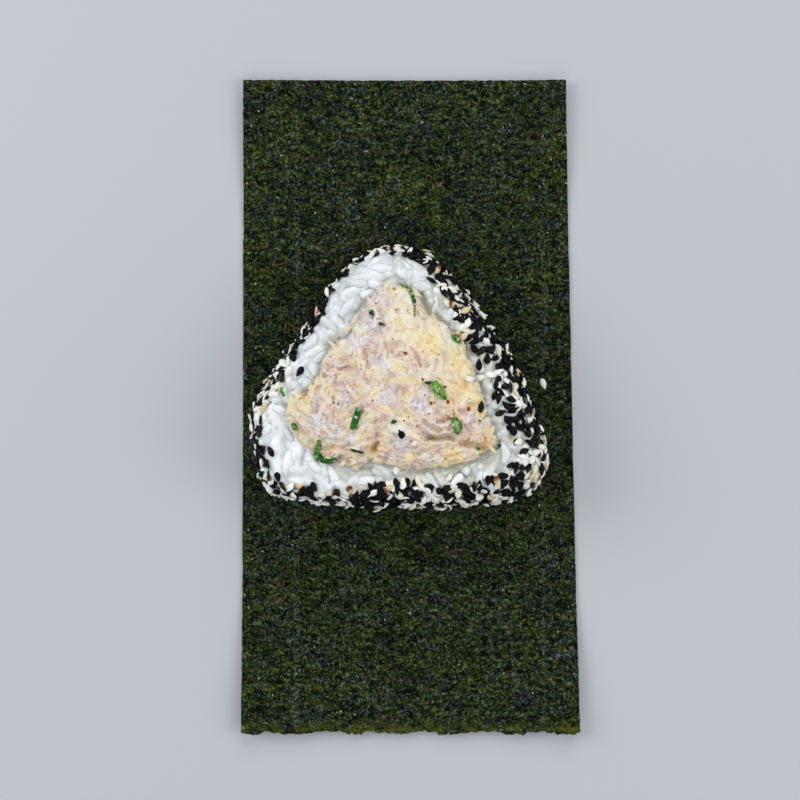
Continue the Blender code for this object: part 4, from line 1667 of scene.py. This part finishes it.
# %% Lay the stray seeds
# Place in mm, direction of the tip in degrees, how far it is sunk in mm, and tone. High tones are toasted.
STRAY_BLACK = (
    (20.1, 13.0, 90, 0.0, 0.30), (-3.0, -7.5, 125, 0.42, 0.20), (20.7, 0.5, 80, 0.3, 0.97),
    (25.3, 7.4, 70, 0.0, 0.50), (-33.0, 10.9, 235, 0.0, 0.10), (26.6, -1.3, 20, 0.0, 0.98),
)
STRAY_WHITE = (
    (41.4, 7.5, -70, 0.0, 0.20), (13.7, 22.2, 70, 0.1, 0.99), (15.6, 21.4, 40, 0.2, 0.96),
    (16.4, 29.3, 30, 0.0, 0.96), (25.6, -21.7, 290, 0.0, 0.99), (-6.6, -23.6, 40, 0.0, 0.99),
    (-33.6, -23.2, 20, 0.0, 0.99), (-44.0, -0.2, 60, 0.0, 0.96), (17.5, 8.7, 5, 0.0, 0.60),
    (20.5, 9.1, 20, 0.0, 0.40),
)
STRAY_LIMIT = 3 * MM
everything = tree_of(nori, core, rice, filling, black_sesame, white_sesame)


def stray(name, places):
    """Seeds laid one by one on whatever is under them."""
    x, y, tips, sunk, tones = np.array(places).T
    starts = [Vector((here * MM, there * MM, FILLING_HIGH.z + 20 * MM)) for here, there in zip(x, y)]
    points = np.array([tuple(everything.ray_cast(start, Vector(-UP), 80 * MM)[0]) for start in starts])
    normals = np.tile(UP, (len(points), 1))
    turns = np.radians(tips + 90.0 - direction_of(points))
    centres, tilts, rolls = settle(everything, points, normals, turns, STRAY_LIMIT)
    centres = centres - normals * sunk[:, None] * MM
    axes = turned(centres, normals, turns, tilts, rolls)
    which = np.arange(len(points)) % len(seeds)
    return joined(name, seeds, which, axes, centres, np.ones((len(points), 3)), tones)


dress(stray("stray_black_sesame", STRAY_BLACK), black_finish, "black_sesame")
dress(stray("stray_white_sesame", STRAY_WHITE), white_finish, "white_sesame")

# %% [markdown]
# ## Pepper and chilli
#
# Ground pepper and chilli are angular crumbs. A crumb is an icosphere with a few corners pulled out, and
# copies settle on the filling where a ray cast down from above meets it. The larger crumbs are listed one by
# one, and dark dust is sprinkled between them.

# %% Model crumbs and sprinkle them
def model_crumb(number, pull):
    """One angular crumb."""
    bpy.ops.object.select_all(action="DESELECT")
    bpy.ops.mesh.primitive_ico_sphere_add(subdivisions=1, radius=0.5 * MM)
    crumb = bpy.context.object
    crumb.name = f"crumb model {number}"
    edit(crumb)
    bpy.ops.transform.resize(value=(1.0, 0.7, 0.45))
    pick(crumb, "VERT", lambda place, normal: place.x > 0.3 * MM)
    bpy.ops.transform.translate(value=pull)
    return taken(crumb)


crumbs = [model_crumb(1, (0.15 * MM, 0.1 * MM, 0.0)), model_crumb(2, (-0.1 * MM, 0.15 * MM, 0.05 * MM))]
filling_top = tree_of(filling)
chance = np.random.default_rng(31)


def sprinkle(name, places, sizes, sink):
    """Crumbs settled on the filling at (x, y) places in metres."""
    centres, kept = [], []
    for number, (x, y) in enumerate(places):
        hit = filling_top.ray_cast(Vector((x, y, FILLING_HIGH.z + 20 * MM)), Vector(-UP), 30 * MM)
        if hit[0] is not None and hit[0].z > RICE_HIGH.z - 1.0 * MM:
            centres.append(np.array(hit[0]) - UP * sink)
            kept.append(number)
    total = len(centres)
    centres = np.array(centres)
    axes = turned(
        centres, np.tile(UP, (total, 1)), chance.uniform(0, math.tau, total),
        chance.normal(0.0, 0.3, total), chance.normal(0.0, 0.3, total),
    )
    size = np.asarray(sizes)[kept][:, None] * np.ones(3)
    piece = joined(name, crumbs, chance.integers(0, 2, total), axes, centres, size, chance.random(total))
    print(name, total)
    return piece


# Middle x, y and length in mm of each crumb that stands out.
CHILLI = (
    (-1.5, 16.1, 1.25), (3.2, 8.6, 1.15), (10.0, 6.3, 1.0), (16.9, -0.2, 1.35), (20.3, -3.7, 1.0),
    (5.3, -1.5, 0.75), (5.9, 1.6, 1.2), (21.7, -8.8, 0.8), (10.8, 1.9, 1.2), (-2.2, -3.5, 0.7),
    (1.7, -5.0, 0.7), (-11.4, 2.4, 0.8), (12.2, 12.9, 0.6), (-5.6, 20.5, 0.6), (-4.3, 29.2, 0.6),
    (-1.1, 28.7, 0.5), (-10.5, 31.1, 0.6), (-22.0, 9.0, 0.7),
)
DARK_CRUMBS = (
    (-9.9, 26.5, 0.7), (-9.1, 26.3, 0.6), (-17.7, 15.6, 0.6), (6.0, 17.0, 0.5), (-0.8, -2.5, 0.6),
    (1.8, -5.0, 0.6), (-22.8, 1.8, 1.0), (-21.6, 1.4, 0.9), (-32.9, 3.0, 0.6), (-7.5, -13.6, 0.5),
    (-24.0, 15.2, 0.7), (9.8, 10.5, 0.5),
)
DUST = 170  # crumbs tried all over the filling's box
SINK = 0.05 * MM
CHILLI_SCALE = 1.25

places = np.array(CHILLI)
chilli = sprinkle("chilli_crumbs", places[:, :2] * MM, places[:, 2] * CHILLI_SCALE, SINK)
spots = chance.uniform((FILLING_LOW.x, FILLING_LOW.y), (FILLING_HIGH.x, FILLING_HIGH.y), (DUST, 2))
lengths = chance.lognormal(-0.9, 0.35, DUST).clip(0.2, 0.8)
places = np.array(DARK_CRUMBS)
spots = np.concatenate((spots, places[:, :2] * MM))
lengths = np.concatenate((lengths, places[:, 2]))
pepper = sprinkle("pepper_crumbs", spots, lengths, SINK)

# %% [markdown]
# Chilli is a clear dark red. Pepper runs from black husk to reddish brown, by each crumb's tone. Both are so
# small that a plain gloss is enough.

# %% Finish of the crumbs
chilli_finish, shader, place = new_finish("chilli crumb", Roughness=0.4)
feed(shader, Base_Color=place.cloud(0.5 * MM).blend((0.20, 0.006, 0.004), (0.37, 0.026, 0.010)))
pepper_finish, shader, place = new_finish("pepper crumb", Roughness=0.5)
husk = attribute(place, "tone").ramp(
    (0.0, (0.012, 0.008, 0.008)),
    (0.6, (0.05, 0.02, 0.012)),
    (1.0, (0.22, 0.07, 0.03)),
)
feed(shader, Base_Color=husk)
dress(chilli, chilli_finish, "pepper")
dress(pepper, pepper_finish, "pepper")

# %% [markdown]
# ## Table and light
#
# The stage is a plain pale table under very soft light: a broad panel on each of four sides, the strongest
# on the left for shape, and a pale sky that fills the shadows. The two skins that only helped to build the
# rice are removed first.

# %% Stage, light and picture settings
for helper in (rice_skin, under):
    bpy.data.objects.remove(helper)
bpy.ops.object.select_all(action="DESELECT")
bpy.ops.mesh.primitive_plane_add(size=6.0, location=(0.0, 0.0, -0.15 * MM))
table = bpy.context.object
table.name = "table"
table_finish, shader, place = new_finish("pale table", Roughness=0.6)
feed(shader, Base_Color=place.cloud(0.3, 2.0).blend((0.50, 0.52, 0.56), (0.53, 0.55, 0.59)))
table.data.materials.append(table_finish)


def soft_panel(name, place, size, watts):
    """A square panel of light aimed at the onigiri."""
    bpy.ops.object.light_add(type="AREA", location=place)
    panel = bpy.context.object
    panel.name = name
    panel.rotation_euler = (-Vector(place)).to_track_quat("-Z", "Y").to_euler()
    panel.data.size = size
    panel.data.energy = watts


soft_panel("left panel", (-0.85, 0.25, 0.62), 0.7, 5.6)
soft_panel("right panel", (0.85, -0.10, 0.70), 0.8, 4.8)
soft_panel("far panel", (0.15, 0.95, 0.70), 0.8, 5.0)
soft_panel("near panel", (-0.15, -0.95, 0.75), 0.8, 2.4)

world = bpy.data.worlds.new("pale sky")
world.use_nodes = True
sky = world.node_tree.nodes["Background"]
sky.inputs["Color"].default_value = (0.93, 0.96, 1.0, 1.0)
sky.inputs["Strength"].default_value = 0.30
bpy.context.scene.world = world
bpy.context.scene.view_settings.view_transform = "Standard"
